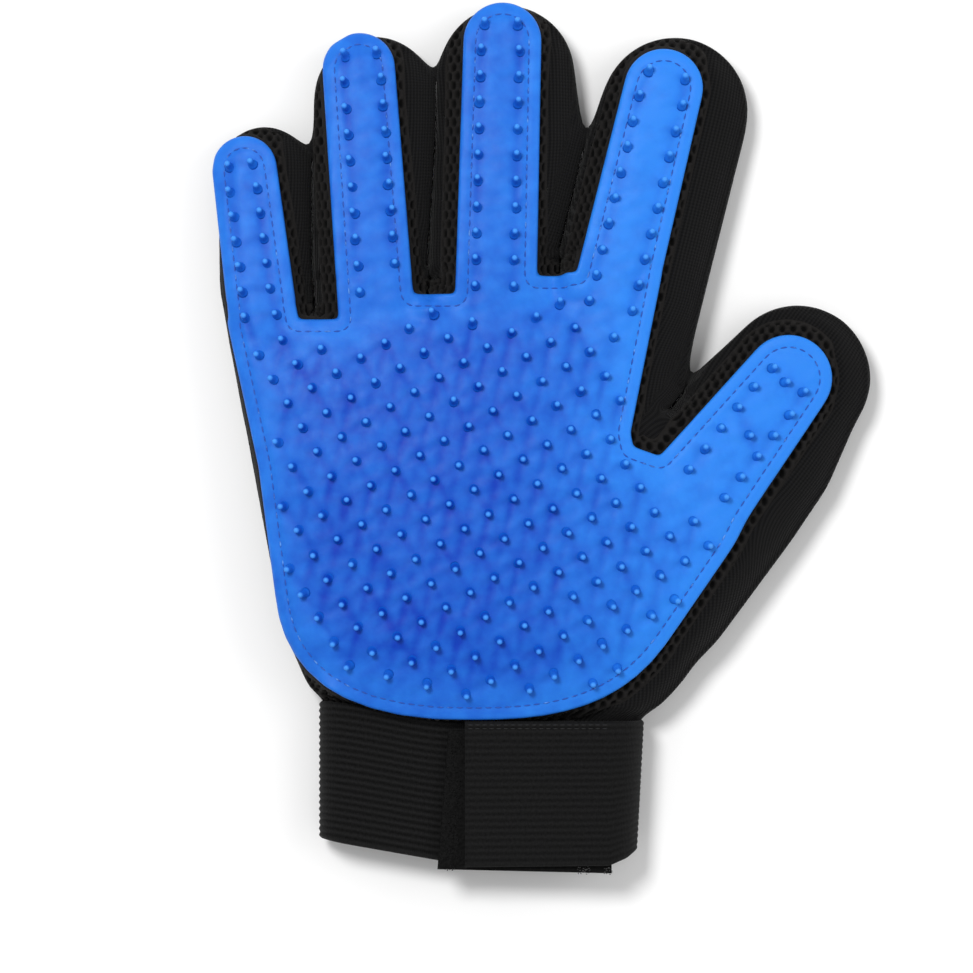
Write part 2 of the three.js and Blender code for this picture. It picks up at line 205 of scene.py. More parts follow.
class Grid:
    """A level grid of points. A field is an array with one value for each of them."""

    def __init__(self, low, high, pitch):
        self.low = np.array(low, float)
        self.pitch = pitch
        counts = [int(math.ceil((b - a) / pitch)) + 1 for a, b in zip(low, high)]
        self.x, self.y = np.meshgrid(*(a + pitch * np.arange(n) for a, n in zip(low, counts)), indexing="ij")

    def read(self, field, x, y):
        """A field's value at any places, by bilinear interpolation."""
        shape = self.x.shape
        u = np.clip((x - self.low[0]) / self.pitch, 0, shape[0] - 1.001)
        v = np.clip((y - self.low[1]) / self.pitch, 0, shape[1] - 1.001)
        i, j = u.astype(int), v.astype(int)
        u, v = u - i, v - j
        return ((1 - u) * (1 - v) * field[i, j] + u * (1 - v) * field[i + 1, j]
                + (1 - u) * v * field[i, j + 1] + u * v * field[i + 1, j + 1])

    def blur(self, field, radius, weight=None):
        """A field smoothed over a radius. Points of no weight take their value from their neighbours."""
        weight = np.ones_like(field) if weight is None else weight
        steps = int(3 * radius / self.pitch)
        shares = np.exp(-0.5 * (np.arange(-steps, steps + 1) * self.pitch / radius) ** 2)
        total, mass = field * weight, weight.astype(float)
        for axis in (0, 1):
            total = sum(s * shifted(total, n - steps, axis) for n, s in enumerate(shares))
            mass = sum(s * shifted(mass, n - steps, axis) for n, s in enumerate(shares))
        return total / np.maximum(mass, 1e-9)

    def slope(self, field):
        """How fast a field rises along x and along y."""
        return np.gradient(field, self.pitch)


def shifted(field, steps, axis):
    """A field moved by whole steps, with nothing coming in at its edge."""
    moved = np.roll(field, steps, axis)
    edge = [slice(None), slice(None)]
    edge[axis] = slice(0, steps) if steps > 0 else slice(field.shape[axis] + steps, None)
    if steps:
        moved[tuple(edge)] = 0
    return moved


def edge_crossing(test, a, b, a_inside, halvings=5):
    """The place between two points where a region's edge lies."""
    for _ in range(halvings):
        middle = (a + b) / 2
        if test(*middle) == a_inside:
            a = middle
        else:
            b = middle
    return (a + b) / 2


def signed_distance(grid, test):
    """Distance to the edge of the region where test(x, y) holds, positive inside it."""
    inside = np.array([[test(x, y) for x, y in zip(*row)] for row in zip(grid.x, grid.y)])
    points = np.dstack([grid.x, grid.y])
    crossings = {}
    for axis, step in ((0, (1, 0)), (1, (0, 1))):
        ahead = inside[1:, :] if axis == 0 else inside[:, 1:]
        here = inside[:-1, :] if axis == 0 else inside[:, :-1]
        for i, j in np.argwhere(here != ahead):
            a, b = points[i, j], points[i + step[0], j + step[1]]
            crossings[axis, i, j] = edge_crossing(test, a, b, inside[i, j])
    pieces = []
    for i, j in np.argwhere(inside[:-1, :-1] ^ inside[1:, 1:] | inside[1:, :-1] ^ inside[:-1, 1:]):
        keys = ((0, i, j), (1, i + 1, j), (0, i, j + 1), (1, i, j))
        ends = [crossings[key] for key in keys if key in crossings]
        pieces += [(ends[n], ends[n + 1]) for n in range(0, len(ends) - 1, 2)]
    pieces = np.array(pieces)
    tree = KDTree(len(pieces))
    for n, middle in enumerate(pieces.mean(1)):
        tree.insert((*middle, 0), n)
    tree.balance()
    flat = points.reshape(-1, 2)
    tried = 4  # the nearest piece of the edge is one of the pieces with the nearest middles
    near = np.array([[found[1] for found in tree.find_n((x, y, 0), tried)] for x, y in flat])
    start, end = pieces[near, 0], pieces[near, 1]
    run = end - start
    share = ((flat[:, None] - start) * run).sum(2) / np.maximum((run ** 2).sum(2), 1e-9)
    nearest = start + np.clip(share, 0, 1)[..., None] * run
    distance = np.linalg.norm(flat[:, None] - nearest, axis=2).min(1).reshape(inside.shape)
    return np.where(inside, distance, -distance)


def ripple(x, y, wavelength, seed, waves=5):
    """Soft unevenness from -1 to 1, made of a few waves in different directions."""
    random = np.random.RandomState(seed)
    total = 0
    for _ in range(waves):
        heading, phase = random.uniform(0, TURN, 2)
        length = wavelength * random.uniform(0.7, 1.5)
        along = x * math.cos(heading) + y * math.sin(heading)
        total = total + np.sin(along * TURN / length + phase)
    return total / waves


# ---- The form of the hand ----

hand_low = [min(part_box(f"{body}_brush_pad")[0][0] for body in BODIES) / MM - HAND_MARGIN,
            WRIST_CUT - 2 * HAND_MARGIN]
hand_high = [max(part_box(f"{body}_knit_back")[1][a] for body in BODIES) / MM + HAND_MARGIN for a in (0, 1)]
solids_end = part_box("palm_knit_back")[0].y / MM + 0.2  # the palm's solids end here, under the band's edge
band_low, band_high = (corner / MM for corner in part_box("wrist_band"))
strap_low, strap_high = (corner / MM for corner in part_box("strap_end"))
tape_low, tape_high = (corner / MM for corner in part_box("hook_tape"))
patch_low, patch_high = (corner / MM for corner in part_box("loop_patch"))


def lowest_near(node, x, slack=1.0):
    """The lowest y of a node's corners near an x."""
    return min(v.co.y / MM for v in frame["nodes"][node].data.vertices if abs(v.co.x / MM - x) < slack)


band_left_edge = lowest_near("wrist_band", band_low.x)
band_right_edge = lowest_near("wrist_band", band_high.x)


def band_lower(x):
    """Lower edge of the wrist band. It hangs lowest under the strap's end."""
    return np.interp(x, [band_low.x, strap_low.x, band_high.x], [band_left_edge, band_low.y, band_right_edge])


def band_upper(x):
    """Upper edge of the wrist band, over the hand's fabrics. It climbs to the little finger's side."""
    centre = (band_low.x + band_high.x) / 2
    return strap_high.y + UPPER_EDGE + BAND_CLIMB * smoothstep(centre - 6, band_low.x, x)


fabrics = Region(("mesh_panel", "knit_back"))
plan = Grid(hand_low, hand_high, FABRIC_PITCH)


def in_hand(x, y):
    """The hand's outline, which runs straight down into the wrist band and narrows to fit it."""
    clearance, left_flare, right_flare = 0.4, 1.4, 1.6
    above_band = max(y - band_upper(x), 0)
    left = band_low.x + WEBBING + clearance - left_flare * above_band
    right = band_high.x - WEBBING - clearance + right_flare * above_band
    return left < x < right and fabrics.holds(x, max(y, solids_end))


def crown(reach):
    """Share of the full height at a distance inside the outline."""
    rest = 1 - np.clip(reach / ROUND_REACH, 0, 1)
    return (1 - rest ** CROWN_POWER) ** (1 / CROWN_POWER)


def drawn_in(reach):
    """Distance from the outline that a grid point at some distance is moved to."""
    share = np.clip(reach / EDGE_REACH, 0, 1)
    return np.where(reach < EDGE_REACH, EDGE_REACH * share ** 2 * (2 - share), reach)


def smoothed_at_thumb(field):
    """The pad's outline, softened a little, and more where the thumb's outer side runs into the palm's."""
    little, much = 0.7, 3.0
    thumb = hinges["thumb"]
    x, y = pad_plan.x, pad_plan.y
    from_corner = np.abs(thumb.past(x, y) + 12)
    share = smoothstep(18, 11, from_corner) * smoothstep(0, 5, thumb.aside(x, y))
    return pad_plan.blur(field, little) * (1 - share) + pad_plan.blur(field, much) * share


pads = Region(("brush_pad",))
pad_plan = Grid(hand_low, hand_high, PAD_PITCH)
pad_edge = smoothed_at_thumb(signed_distance(pad_plan, pads.holds))
pad_slope_x, pad_slope_y = pad_plan.slope(pad_plan.blur(pad_edge, 0.5))


def pad_distance(x, y):
    """Distance inside the pad's outline."""
    return pad_plan.read(pad_edge, x, y)


def half_gaps(field, radius=3.0):
    """Half the width of the gap at each place: the greatest distance outside the outline in a radius."""
    steps = int(radius / FABRIC_PITCH)
    half_gap = -field
    for i in range(-steps, steps + 1):
        for j in range(-steps, steps + 1):
            if i * i + j * j <= steps * steps:
                half_gap = np.maximum(half_gap, np.roll(-field, (i, j), (0, 1)))
    return half_gap


def narrowed_gaps(field):
    """The hand's outline, softened and swollen between neighbouring fingers until only a slit is left."""
    half_gap = half_gaps(field)
    narrow = smoothstep(2.1, 1.0, half_gap)
    softened = plan.blur(field, OUTLINE_BLUR) + BLUR_LOSS
    swollen = field + np.maximum(half_gap - HALF_SLIT, 0)
    return softened * (1 - narrow) + swollen * narrow, narrow


hand_edge, closeness = narrowed_gaps(signed_distance(plan, in_hand))
edge_slope = plan.slope(plan.blur(hand_edge, 0.8))
edge_steepness = np.maximum(np.hypot(*edge_slope), 0.3)
edge_out_x, edge_out_y = (-part / edge_steepness for part in edge_slope)


def to_edge(x, y):
    """Grid places moved towards the outline, so that the steep sides have enough points."""
    reach = np.maximum(plan.read(hand_edge, x, y), 0)
    move = reach - drawn_in(reach)
    return x + move * plan.read(edge_out_x, x, y), y + move * plan.read(edge_out_y, x, y)


def measured_fullness():
    """Height above the widest part, as a multiple of the crown, smoothed over the CAD's facets."""
    x, y = to_edge(plan.x, plan.y)
    reach = drawn_in(np.maximum(hand_edge, 0))
    fullness, weight = np.zeros_like(x), np.zeros_like(x)
    for i, j in np.argwhere(hand_edge > 0.8):
        top = plumb(fabrics.whole, x[i, j], max(y[i, j], solids_end))
        if top is not None and top > BELLY:
            fullness[i, j] = (top - BELLY) / crown(reach[i, j])
            weight[i, j] = 1
    return plan.blur(fullness, 1.8, weight)


fullness = measured_fullness()


def filling(x, y):
    """Full height of the hand above its widest part, with some looseness."""
    return plan.read(fullness, x, y) + 0.25 * ripple(x, y, 34, 3) + 0.12 * ripple(x, y, 13, 4)


def hand_top(x, y, reach):
    """Height of the upper side at a distance inside the outline.

    It is stiffer under the pad, and dips into the wrist band.
    """
    left_by_band = 1 - BAND_SQUEEZE * smoothstep(4, -1, y - band_upper(x))
    held = smoothstep(-1.6, 0.4, pad_distance(x, y)) * smoothstep(0, 0.6, reach)
    share = crown(reach) * (1 - held) + crown(reach + OVERHANG) * held
    return BELLY + filling(x, y) * share * (left_by_band * (1 - held) + held)


def hand_bottom(x, y, reach):
    """Height of the underside, which is flat where it lies."""
    raised = (WEBBING + 0.3) * smoothstep(3, -0.5, y - band_upper(x))
    hollow = np.maximum(0.35 * ripple(x, y, 26, 8), 0)
    return np.maximum(BELLY * (1 - 1.1 * crown(reach)), hollow) + raised


# ---- Making meshes ----

def flat_sheet(grid, field):
    """A level mesh of the part of a grid where the field is positive, cut cleanly along its edge."""
    wide = field > -2 * grid.pitch
    corners = wide[:-1, :-1] & wide[1:, :-1] & wide[1:, 1:] & wide[:-1, 1:]
    near = np.maximum.reduce([field[:-1, :-1], field[1:, :-1], field[1:, 1:], field[:-1, 1:]]) > 0
    number = np.arange(field.size).reshape(field.shape)
    i, j = np.argwhere(corners & near).T
    quads = np.stack([number[i, j], number[i + 1, j], number[i + 1, j + 1], number[i, j + 1]], 1)
    used, quads = np.unique(quads, return_inverse=True)
    points = np.stack([grid.x.ravel()[used], grid.y.ravel()[used], field.ravel()[used]], 1)
    mesh = bpy.data.meshes.new("flat")
    mesh.from_pydata(points.tolist(), [], quads.reshape(-1, 4).tolist())
    sheet = bmesh.new()
    sheet.from_mesh(mesh)
    bpy.data.meshes.remove(mesh)
    cut(sheet, sheet.verts[:] + sheet.edges[:] + sheet.faces[:], clear=True)
    return sheet


def cut(sheet, geometry, clear=False):
    """Cuts a sheet where its points' heights, which hold a field, pass through zero."""
    bmesh.ops.bisect_plane(sheet, geom=geometry, dist=1e-4, plane_co=(0, 0, 0), plane_no=(0, 0, 1),
                           clear_inner=clear)


def split(sheet, value, window=None):
    """Cuts a sheet in two along the line where a value is zero, inside a window."""
    places = np.array([v.co[:2] for v in sheet.verts])
    levels = value(places[:, 0], places[:, 1])
    for vert, level in zip(sheet.verts, levels):
        vert.co.z = level
    within = window(places[:, 0], places[:, 1]) if window else np.ones(len(places), bool)
    chosen = dict.fromkeys(vert for vert, is_in in zip(sheet.verts, within) if is_in)
    faces = [f for f in sheet.faces if all(v in chosen for v in f.verts)]
    edges = dict.fromkeys(e for f in faces for e in f.edges)
    cut(sheet, [*chosen, *edges, *faces])


def split_at_fingers(sheet, reach=3.0):
    """Cuts a sheet along the lines where the fingers start to bend."""
    for hinge in hinges.values():

        def near_line(x, y, hinge=hinge):
            return (np.abs(hinge.beyond(x, y)) < reach) & hinge.holds(x, y, reach)

        split(sheet, hinge.beyond, near_line)


def nearest_finger(x, y, numbers):
    """The one of some fingers, by number, whose fabrics are nearest to a place."""
    place = Vector((x, y, BELLY))
    away = [fabrics.parts[FINGERS[n]].find_nearest(place)[3] for n in numbers]
    return numbers[int(np.argmin(away))]


def body_of_places(x, y):
    """Number in BODIES of the body at each place."""
    owner = np.zeros(len(x), int)
    for n, finger in enumerate(FINGERS):
        owner[hinges[finger].holds(x, y)] = n + 1
    beside = [hinges[f].holds(x, y, BETWEEN) & (hinges[f].beyond(x, y) > 2 * BETWEEN) for f in FINGERS[:4]]
    beside = np.array(beside)
    unclear = (beside.sum(0) > 1) | (beside.any(0) & (owner == 0))
    for k in np.flatnonzero(unclear):
        owner[k] = 1 + nearest_finger(x[k], y[k], np.flatnonzero(beside[:, k]))
    return owner


def sheet_arrays(sheet):
    """A sheet's places, and its faces as lists of their points."""
    sheet.verts.index_update()
    places = np.array([v.co[:2] for v in sheet.verts])
    return places[:, 0], places[:, 1], [[v.index for v in f.verts] for f in sheet.faces]


def face_centres(x, y, faces):
    """Places of the faces' middles."""
    return np.array([x[f].mean() for f in faces]), np.array([y[f].mean() for f in faces])


def lower_points(on_rim):
    """Number of the point under each of a sheet's points. On the rim, it is the same one."""
    count = len(on_rim)
    return np.where(on_rim, np.arange(count), np.arange(count) + count)


def mirrored(faces, under):
    """A sheet's faces again, facing down, on the points under them."""
    return [under[f[::-1]].tolist() for f in faces]


def mesh_object(name, points, faces, material, normals=None, **attributes):
    """A smooth-shaded mesh made from points in millimetres, with a value or a vector at every point."""
    mesh = bpy.data.meshes.new(name)
    mesh.from_pydata((np.asarray(points) * MM).tolist(), [], faces)
    mesh.shade_smooth()
    for key, values in attributes.items():
        values = np.asarray(values, np.float32)
        kind = "FLOAT" if values.ndim == 1 else "FLOAT_VECTOR"
        field = mesh.attributes.new(key, kind, "POINT")
        field.data.foreach_set("value" if kind == "FLOAT" else "vector", values.ravel())
    if normals is not None:
        mesh.normals_split_custom_set_from_vertices(np.asarray(normals).tolist())
    mesh.materials.append(material)
    piece = bpy.data.objects.new(name, mesh)
    bpy.context.scene.collection.objects.link(piece)
    return piece


def vertex_normals(points, faces):
    """The smooth normals that a mesh of these points and faces would have."""
    mesh = bpy.data.meshes.new("normals")
    mesh.from_pydata(np.asarray(points).tolist(), [], faces)
    normals = np.zeros(len(points) * 3, np.float32)
    mesh.vertices.foreach_get("normal", normals)
    bpy.data.meshes.remove(mesh)
    return normals.reshape(-1, 3)


def pick(faces, chosen):
    """The chosen faces renumbered, and the numbers of the points that they use."""
    kept = [faces[n] for n in chosen]
    used = np.unique(np.concatenate([np.array(f) for f in kept]))
    renumber = np.zeros(used.max() + 1, int)
    renumber[used] = np.arange(len(used))
    return [renumber[f].tolist() for f in kept], used


def hang_on(piece, owner):
    """A piece of a finger has its placing baked into its points. Any other piece rides on its body."""
    if owner not in hinges:
        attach(piece, owner)
        return
    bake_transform(piece)


def enter(slot, node=None):
    """Hides the CAD node that a piece replaces, if any. The slot is not used."""
    if node:
        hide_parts(node)


def cut_flat(piece, body, wrap=(0, 0), **how):
    """Works out the flat size of a piece of cloth that was cut to its plan, or that much wider and longer
    where it wraps.
    """
    x, y = np.array([v.co[:2] for v in piece.data.vertices]).T / MM
    if body in hinges:
        x, y = hinges[body].aside(x, y), hinges[body].beyond(x, y)
    flat = (np.array([np.ptp(x), np.ptp(y)]) + wrap) * MM


# ---- Materials ----

class Nodes:
    """Short calls for building a material's nodes."""

    def __init__(self, name, base_color, roughness):
        self.material = bpy.data.materials.new(name)
        self.material.use_nodes = True
        self.tree = self.material.node_tree
        self.shader = self.tree.nodes["Principled BSDF"]
        self.set(self.shader, "Base Color", (*base_color, 1))
        self.set(self.shader, "Roughness", roughness)

    def set(self, node, socket, value):
        if isinstance(value, bpy.types.NodeSocket):
            self.tree.links.new(value, node.inputs[socket])
        else:
            node.inputs[socket].default_value = value

    def add(self, kind, output=0, inputs=(), **settings):
        node = self.tree.nodes.new(kind)
        for key, value in settings.items():
            setattr(node, key, value)
        for socket, value in dict(inputs).items():
            self.set(node, socket, value)
        return node.outputs[output]

    def math(self, operation, a, b=0.0):
        return self.add("ShaderNodeMath", 0, {0: a, 1: b}, operation=operation)

    def attribute(self, name, output="Fac"):
        return self.add("ShaderNodeAttribute", output, attribute_name=name)

    def cloth(self):
        """Coordinates in millimetres that lie on the cloth."""
        return self.attribute("cloth", "Vector")

    def noise(self, scale, detail=2.0):
        inputs = {"Vector": self.cloth(), "Scale": scale, "Detail": detail}
        return self.add("ShaderNodeTexNoise", "Fac", inputs)

    def ramp(self, value, low, high, from_low=0.0, from_high=1.0):
        limits = {"From Min": from_low, "From Max": from_high, "To Min": low, "To Max": high}
        return self.add("ShaderNodeMapRange", 0, {"Value": value, **limits})

    def colour(self, share, a, b):
        """Makes the base colour a mix of two colours."""
        self.set(self.shader, "Base Color", self.colour_mix(share, a, b))

    def colour_mix(self, share, a, b):
        node = self.tree.nodes.new("ShaderNodeMix")
        node.data_type = "RGBA"
        self.set(node, 0, share)
        for socket, colour in ((6, a), (7, b)):
            self.set(node, socket, colour if isinstance(colour, bpy.types.NodeSocket) else (*colour, 1))
        return node.outputs[2]

    def bump(self, height, strength, distance):
        bump = self.add("ShaderNodeBump", 0, {"Height": height, "Strength": strength, "Distance": distance})
        self.set(self.shader, "Normal", bump)


def silicone_material():
    """Satin silicone, with painted highlights on its nubs' tips and painted shade round their feet. Its
    painted shade and light are worked out with its shape.
    """
    # pale and the deeper blue are lit and shaded copies of the silicone's blue, mixed by the painted shade.
    pale, shaded_blue = (0.02, 0.21, 0.76), (0.0004, 0.042, 0.43)
    # tip is a painted highlight for the nubs' tips, and foot is painted shade for their feet.
    tip, foot = (0.05, 0.28, 0.84), (0.001, 0.1, 0.56)
    nodes = Nodes("blue_silicone", pale, 0.5)
    # The clouds are the silicone's own random mottling, added onto the painted shade.
    clouds = nodes.ramp(nodes.noise(0.2, 4.0), -0.55, 0.55)
    tone = nodes.math("ADD", nodes.attribute("tone"), clouds)
    body = nodes.colour_mix(nodes.ramp(tone, 0, 1, 0, 1.5), pale, shaded_blue)
    # Painted shade darkens each nub's foot, and a painted highlight makes its tip pale.
    climb = nodes.attribute("climb")
    dark = nodes.colour_mix(nodes.ramp(climb, 0.8, 0, 0, SHEET_CLIMB), body, foot)
    nodes.colour(nodes.ramp(climb, 0, 1, 0.8, 0.98), dark, tip)
    nodes.set(nodes.shader, "Subsurface Weight", 0.1)
    nodes.set(nodes.shader, "Subsurface Radius", (0.2, 0.5, 1.0))
    nodes.set(nodes.shader, "Subsurface Scale", 0.002)
    nodes.set(nodes.shader, "Specular IOR Level", 0.18)
    nodes.set(nodes.shader, "Roughness", nodes.ramp(nodes.noise(0.6), 0.42, 0.58))
    nodes.bump(nodes.noise(2.2, 4.0), 0.1, 0.0002)
    return nodes.material


def thread_material():
    """Blue thread, with a few pale flecks."""
    blue, pale = (0.008, 0.07, 0.4), (0.1, 0.3, 0.75)
    nodes = Nodes("stitching_thread", blue, 0.6)
    nodes.colour(nodes.ramp(nodes.noise(0.5), 0, 1, 0.55, 0.7), blue, pale)
    return nodes.material


def grey_thread_material():
    dark, light = (0.004, 0.004, 0.004), (0.014, 0.014, 0.0143)
    nodes = Nodes("grey_thread", dark, 0.7)
    nodes.colour(nodes.noise(0.7), dark, light)
    return nodes.material


def dark_fabric(name, dark, roughness):
    """A start for the dark materials, which shine little."""
    nodes = Nodes(name, dark, roughness)
    nodes.set(nodes.shader, "Sheen Weight", 0.04)
    nodes.set(nodes.shader, "Sheen Roughness", 0.5)
    nodes.set(nodes.shader, "Specular IOR Level", 0.08)
    return nodes


def knit_material():
    """Lengthwise ribs, each a column of small slanting stitches, painted paler on their crests and darker in
    the grooves, as painted light and shade.
    """
    rib_pitch, stitch_pitch = 1.1, 0.9
    dark, light = (0.0035, 0.0035, 0.0037), (0.0105, 0.0103, 0.0105)
    nodes = dark_fabric("rib_knit", dark, 0.9)
    place = nodes.add("ShaderNodeSeparateXYZ", 0, {0: nodes.cloth()}).node
    across, along = place.outputs[0], place.outputs[1]
    rib = nodes.math("SINE", nodes.math("MULTIPLY", across, TURN / rib_pitch))
    slant = nodes.math("MULTIPLY", nodes.math("ABSOLUTE", rib), 1.2)
    row = nodes.math("SINE", nodes.math("ADD", nodes.math("MULTIPLY", along, TURN / stitch_pitch), slant))
    height = nodes.math("ADD", nodes.math("MULTIPLY", rib, 0.7), nodes.math("MULTIPLY", row, 0.3))
    fuzz = nodes.noise(3.0, 3.0)
    height = nodes.math("ADD", height, nodes.math("MULTIPLY", fuzz, 0.5))
    # The colour follows the relief, with painted light on the crests and painted shade in the grooves; the
    # fuzz adds random tone.
    nodes.colour(nodes.ramp(height, 0, 1, -0.6, 1.4), dark, light)
    nodes.bump(height, 0.6, 0.0003)
    return nodes.material


def air_mesh_material():
    """A net of yarn, with painted shade inside its holes."""
    dark, light = (0.0006, 0.0006, 0.0006), (0.0125, 0.0115, 0.011)
    nodes = dark_fabric("air_mesh", dark, 0.85)
    yarn = nodes.noise(3.5, 3.0)
    # Painted shade in the holes.
    nodes.colour(nodes.math("SUBTRACT", 1.0, nodes.attribute("hole")), dark, light)
    nodes.bump(yarn, 0.5, 0.0003)
    return nodes.material


def elastic_material():
    """Ribbed webbing with fine cross threads, with painted highlights on its ribs' crests and painted shade
    between them.
    """
    dark, light = (0.001, 0.001, 0.001), (0.0105, 0.0105, 0.0107)
    thread_pitch = 0.55
    nodes = dark_fabric("elastic_webbing", dark, 0.8)
    along = nodes.add("ShaderNodeSeparateXYZ", 0, {0: nodes.cloth()})
    thread = nodes.math("SINE", nodes.math("MULTIPLY", along, TURN / thread_pitch))
    fuzz = nodes.noise(1.4, 4.0)
    # The rib value paints the crests paler and the grooves darker, as painted highlight and shade.
    rib = nodes.math("MULTIPLY", nodes.attribute("rib"), 0.7)
    nodes.colour(nodes.math("ADD", rib, nodes.ramp(fuzz, -0.35, 0.75)), dark, light)
    nodes.bump(nodes.math("ADD", thread, nodes.math("MULTIPLY", fuzz, 0.8)), 0.35, 0.0002)
    return nodes.material


def nylon_material(name, dark, light, roughness):
    """Nylon, in specks of two greys."""
    nodes = dark_fabric(name, dark, roughness)
    speck = nodes.noise(1.6, 2.0)
    nodes.colour(nodes.ramp(speck, 0, 1, 0.35, 0.65), dark, light)
    return nodes.material


def loop_material():
    """A soft nap."""
    dark, light = (0.002, 0.002, 0.002), (0.014, 0.014, 0.0145)
    nodes = dark_fabric("loop_nap", dark, 0.95)
    nap = nodes.noise(1.8, 5.0)
    nodes.colour(nap, dark, light)
    nodes.bump(nap, 0.8, 0.0006)
    return nodes.material


silicone = silicone_material()
thread = thread_material()
grey_thread = grey_thread_material()
knit = knit_material()
air_mesh = air_mesh_material()
elastic = elastic_material()
hook_nylon = nylon_material("hook_nylon", (0.001, 0.001, 0.001), (0.0055, 0.0055, 0.0055), 0.75)
# A much paler copy of the hook nylon, as painted light on the frayed hooks that catch it.
painted_lit_nylon = nylon_material("painted_lit_nylon", (0.01, 0.01, 0.01), (0.16, 0.16, 0.16), 0.5)
loop_nap = loop_material()


# ---- The knit back and the air mesh ----

def mesh_border(x, y):
    """Width of the air mesh that shows round the pad, which is less on the thumb side of the fingers."""
    return MESH_BORDER - 1.5 * smoothstep(-0.75, -0.95, pad_plan.read(pad_slope_x, x, y))


def seam_distance(x, y):
    """Distance outside the seam between the air mesh and the knit. Negative is inside it."""
    return -pad_distance(x, y) - mesh_border(x, y)


def mesh_holes(x, y):
    """Depth of the air mesh's holes, from 0 to 1: rows of ovals, every other row set half way along."""
    pitch_x, pitch_y = 3.1, 2.5
    size, roundness = 0.9, 0.7
    row = np.round(y / pitch_y)
    off_x = x / pitch_x + 0.5 * (row % 2)
    dx = (off_x - np.round(off_x)) * pitch_x
    dy = y - row * pitch_y
    return 1 - smoothstep(size - 0.35, size + 0.3, np.hypot(dx, dy * roundness))


def subdivide_border(sheet):
    """Halves the grid where the air mesh shows, so that its holes have a shape."""
    faces = sheet.faces[:]
    centres = np.array([f.calc_center_median()[:2] for f in faces])
    inset = pad_distance(centres[:, 0], centres[:, 1])
    shows = (-MESH_BORDER - 0.2 < inset) & (inset < 0.6)
    edges = dict.fromkeys(e for f, is_shown in zip(faces, shows) if is_shown for e in f.edges)
    bmesh.ops.subdivide_edges(sheet, edges=list(edges), cuts=1, use_grid_fill=True)


def fabric_sheet():
    """The fabrics' plan, cut where they end, along the seam and at the fingers."""
    sheet = flat_sheet(plan, hand_edge)
    split(sheet, lambda x, y: y - WRIST_CUT)
    below = [f for f in sheet.faces if f.calc_center_median().y < WRIST_CUT]
    bmesh.ops.delete(sheet, geom=below, context="FACES")
    split(sheet, seam_distance)
    split_at_fingers(sheet)
    subdivide_border(sheet)
    x, y, faces = sheet_arrays(sheet)
    sheet.free()
    return x, y, faces


def skin_sides(x, y):
    """The skin's upper and lower points over places in the plan, and the distance inside the outline."""
    inset = plan.read(hand_edge, x, y)
    reach = drawn_in(np.maximum(inset, 0))
    reach[inset < ON_EDGE] = 0
    edge_x, edge_y = to_edge(x, y)
    bulge = BULGE * plan.read(closeness, edge_x, edge_y) ** 2 * smoothstep(1.5, 0, reach)
    wide_x = edge_x + bulge * plan.read(edge_out_x, edge_x, edge_y)
    wide_y = edge_y + bulge * plan.read(edge_out_y, edge_x, edge_y)
    top = np.stack([wide_x, wide_y, hand_top(edge_x, edge_y, reach)], 1)
    bottom = np.stack([wide_x, wide_y, hand_bottom(edge_x, edge_y, reach)], 1)
    return top, bottom, reach


def unroll(x, y, top, bottom):
    """Places on both sides of the skin as if its steep walls lay flat, for the cloth's pattern."""
    out = np.stack([plan.read(edge_out_x, x, y), plan.read(edge_out_y, x, y)], 1)
    drop = BELLY + filling(x, y) - top[:, 2]
    return top[:, :2] + out * drop[:, None], bottom[:, :2] + out * bottom[:, 2:]


def hole_depths(x, y, pattern):
    """Depth of the air mesh's holes, which show only between the pad and the seam."""
    seam, border = seam_distance(x, y), mesh_border(x, y)
    shows = smoothstep(-border - 0.2, -border + 0.4, seam) * smoothstep(-0.3, -0.9, seam)
    return mesh_holes(*pattern.T) * shows


def build_fabrics():
    """The skin of the hand: air mesh round the pad, and knit at the sides and the back."""
    groove_depth, groove_width, hole_depth, under_offset = 0.9, 0.7, 0.95, 9.0
    x, y, faces = fabric_sheet()
    top, bottom, reach = skin_sides(x, y)
    points = np.vstack([top, bottom])
    lower = mirrored(faces, lower_points(reach == 0))
    both = faces + lower
    top_pattern, bottom_pattern = unroll(x, y, top, bottom)
    hole = hole_depths(x, y, top_pattern)
    groove = groove_depth * np.exp(-(seam_distance(x, y) / groove_width) ** 2)
    fade = np.clip(plan.read(hand_edge, x, y) / 1.5, 0, 1)
    dent = np.concatenate([(groove + hole_depth * hole) * fade, 0 * hole])
    points = points - vertex_normals(points, both) * dent[:, None]
    normals = vertex_normals(points, both)
    pattern = np.vstack([top_pattern, bottom_pattern])
    cloth = np.stack([*rib_coordinates(*pattern.T), np.repeat([0.0, under_offset], len(x))], 1)
    # The holes' depth also sets the painted shade inside them.
    holes = np.concatenate([hole, 0 * hole])
    centres = face_centres(x, y, faces)
    owner = body_of_places(*centres)
    meshed = seam_distance(*centres) < 0
    for n, name in enumerate(BODIES):
        knitted = [*np.flatnonzero((owner == n) & ~meshed), *(len(faces) + np.flatnonzero(owner == n))]
        netted = np.flatnonzero((owner == n) & meshed)
        for kind, node, chosen, material in (("knit", "knit_back", knitted, knit),
                                             ("air_mesh", "mesh_panel", netted, air_mesh)):
            kept, used = pick(both, chosen)
            piece = mesh_object(f"{name}_{kind}", points[used], kept, material, normals[used],
                                cloth=cloth[used], hole=holes[used])
            hang_on(piece, name)
            enter(kind, f"{name}_{node}")
            if kind == "knit":
                cut_flat(piece, name, KNIT_WRAP, held="stretched")
            else:
                cut_flat(piece, name, held="stretched", rests_on=[f"{name}_knit"])


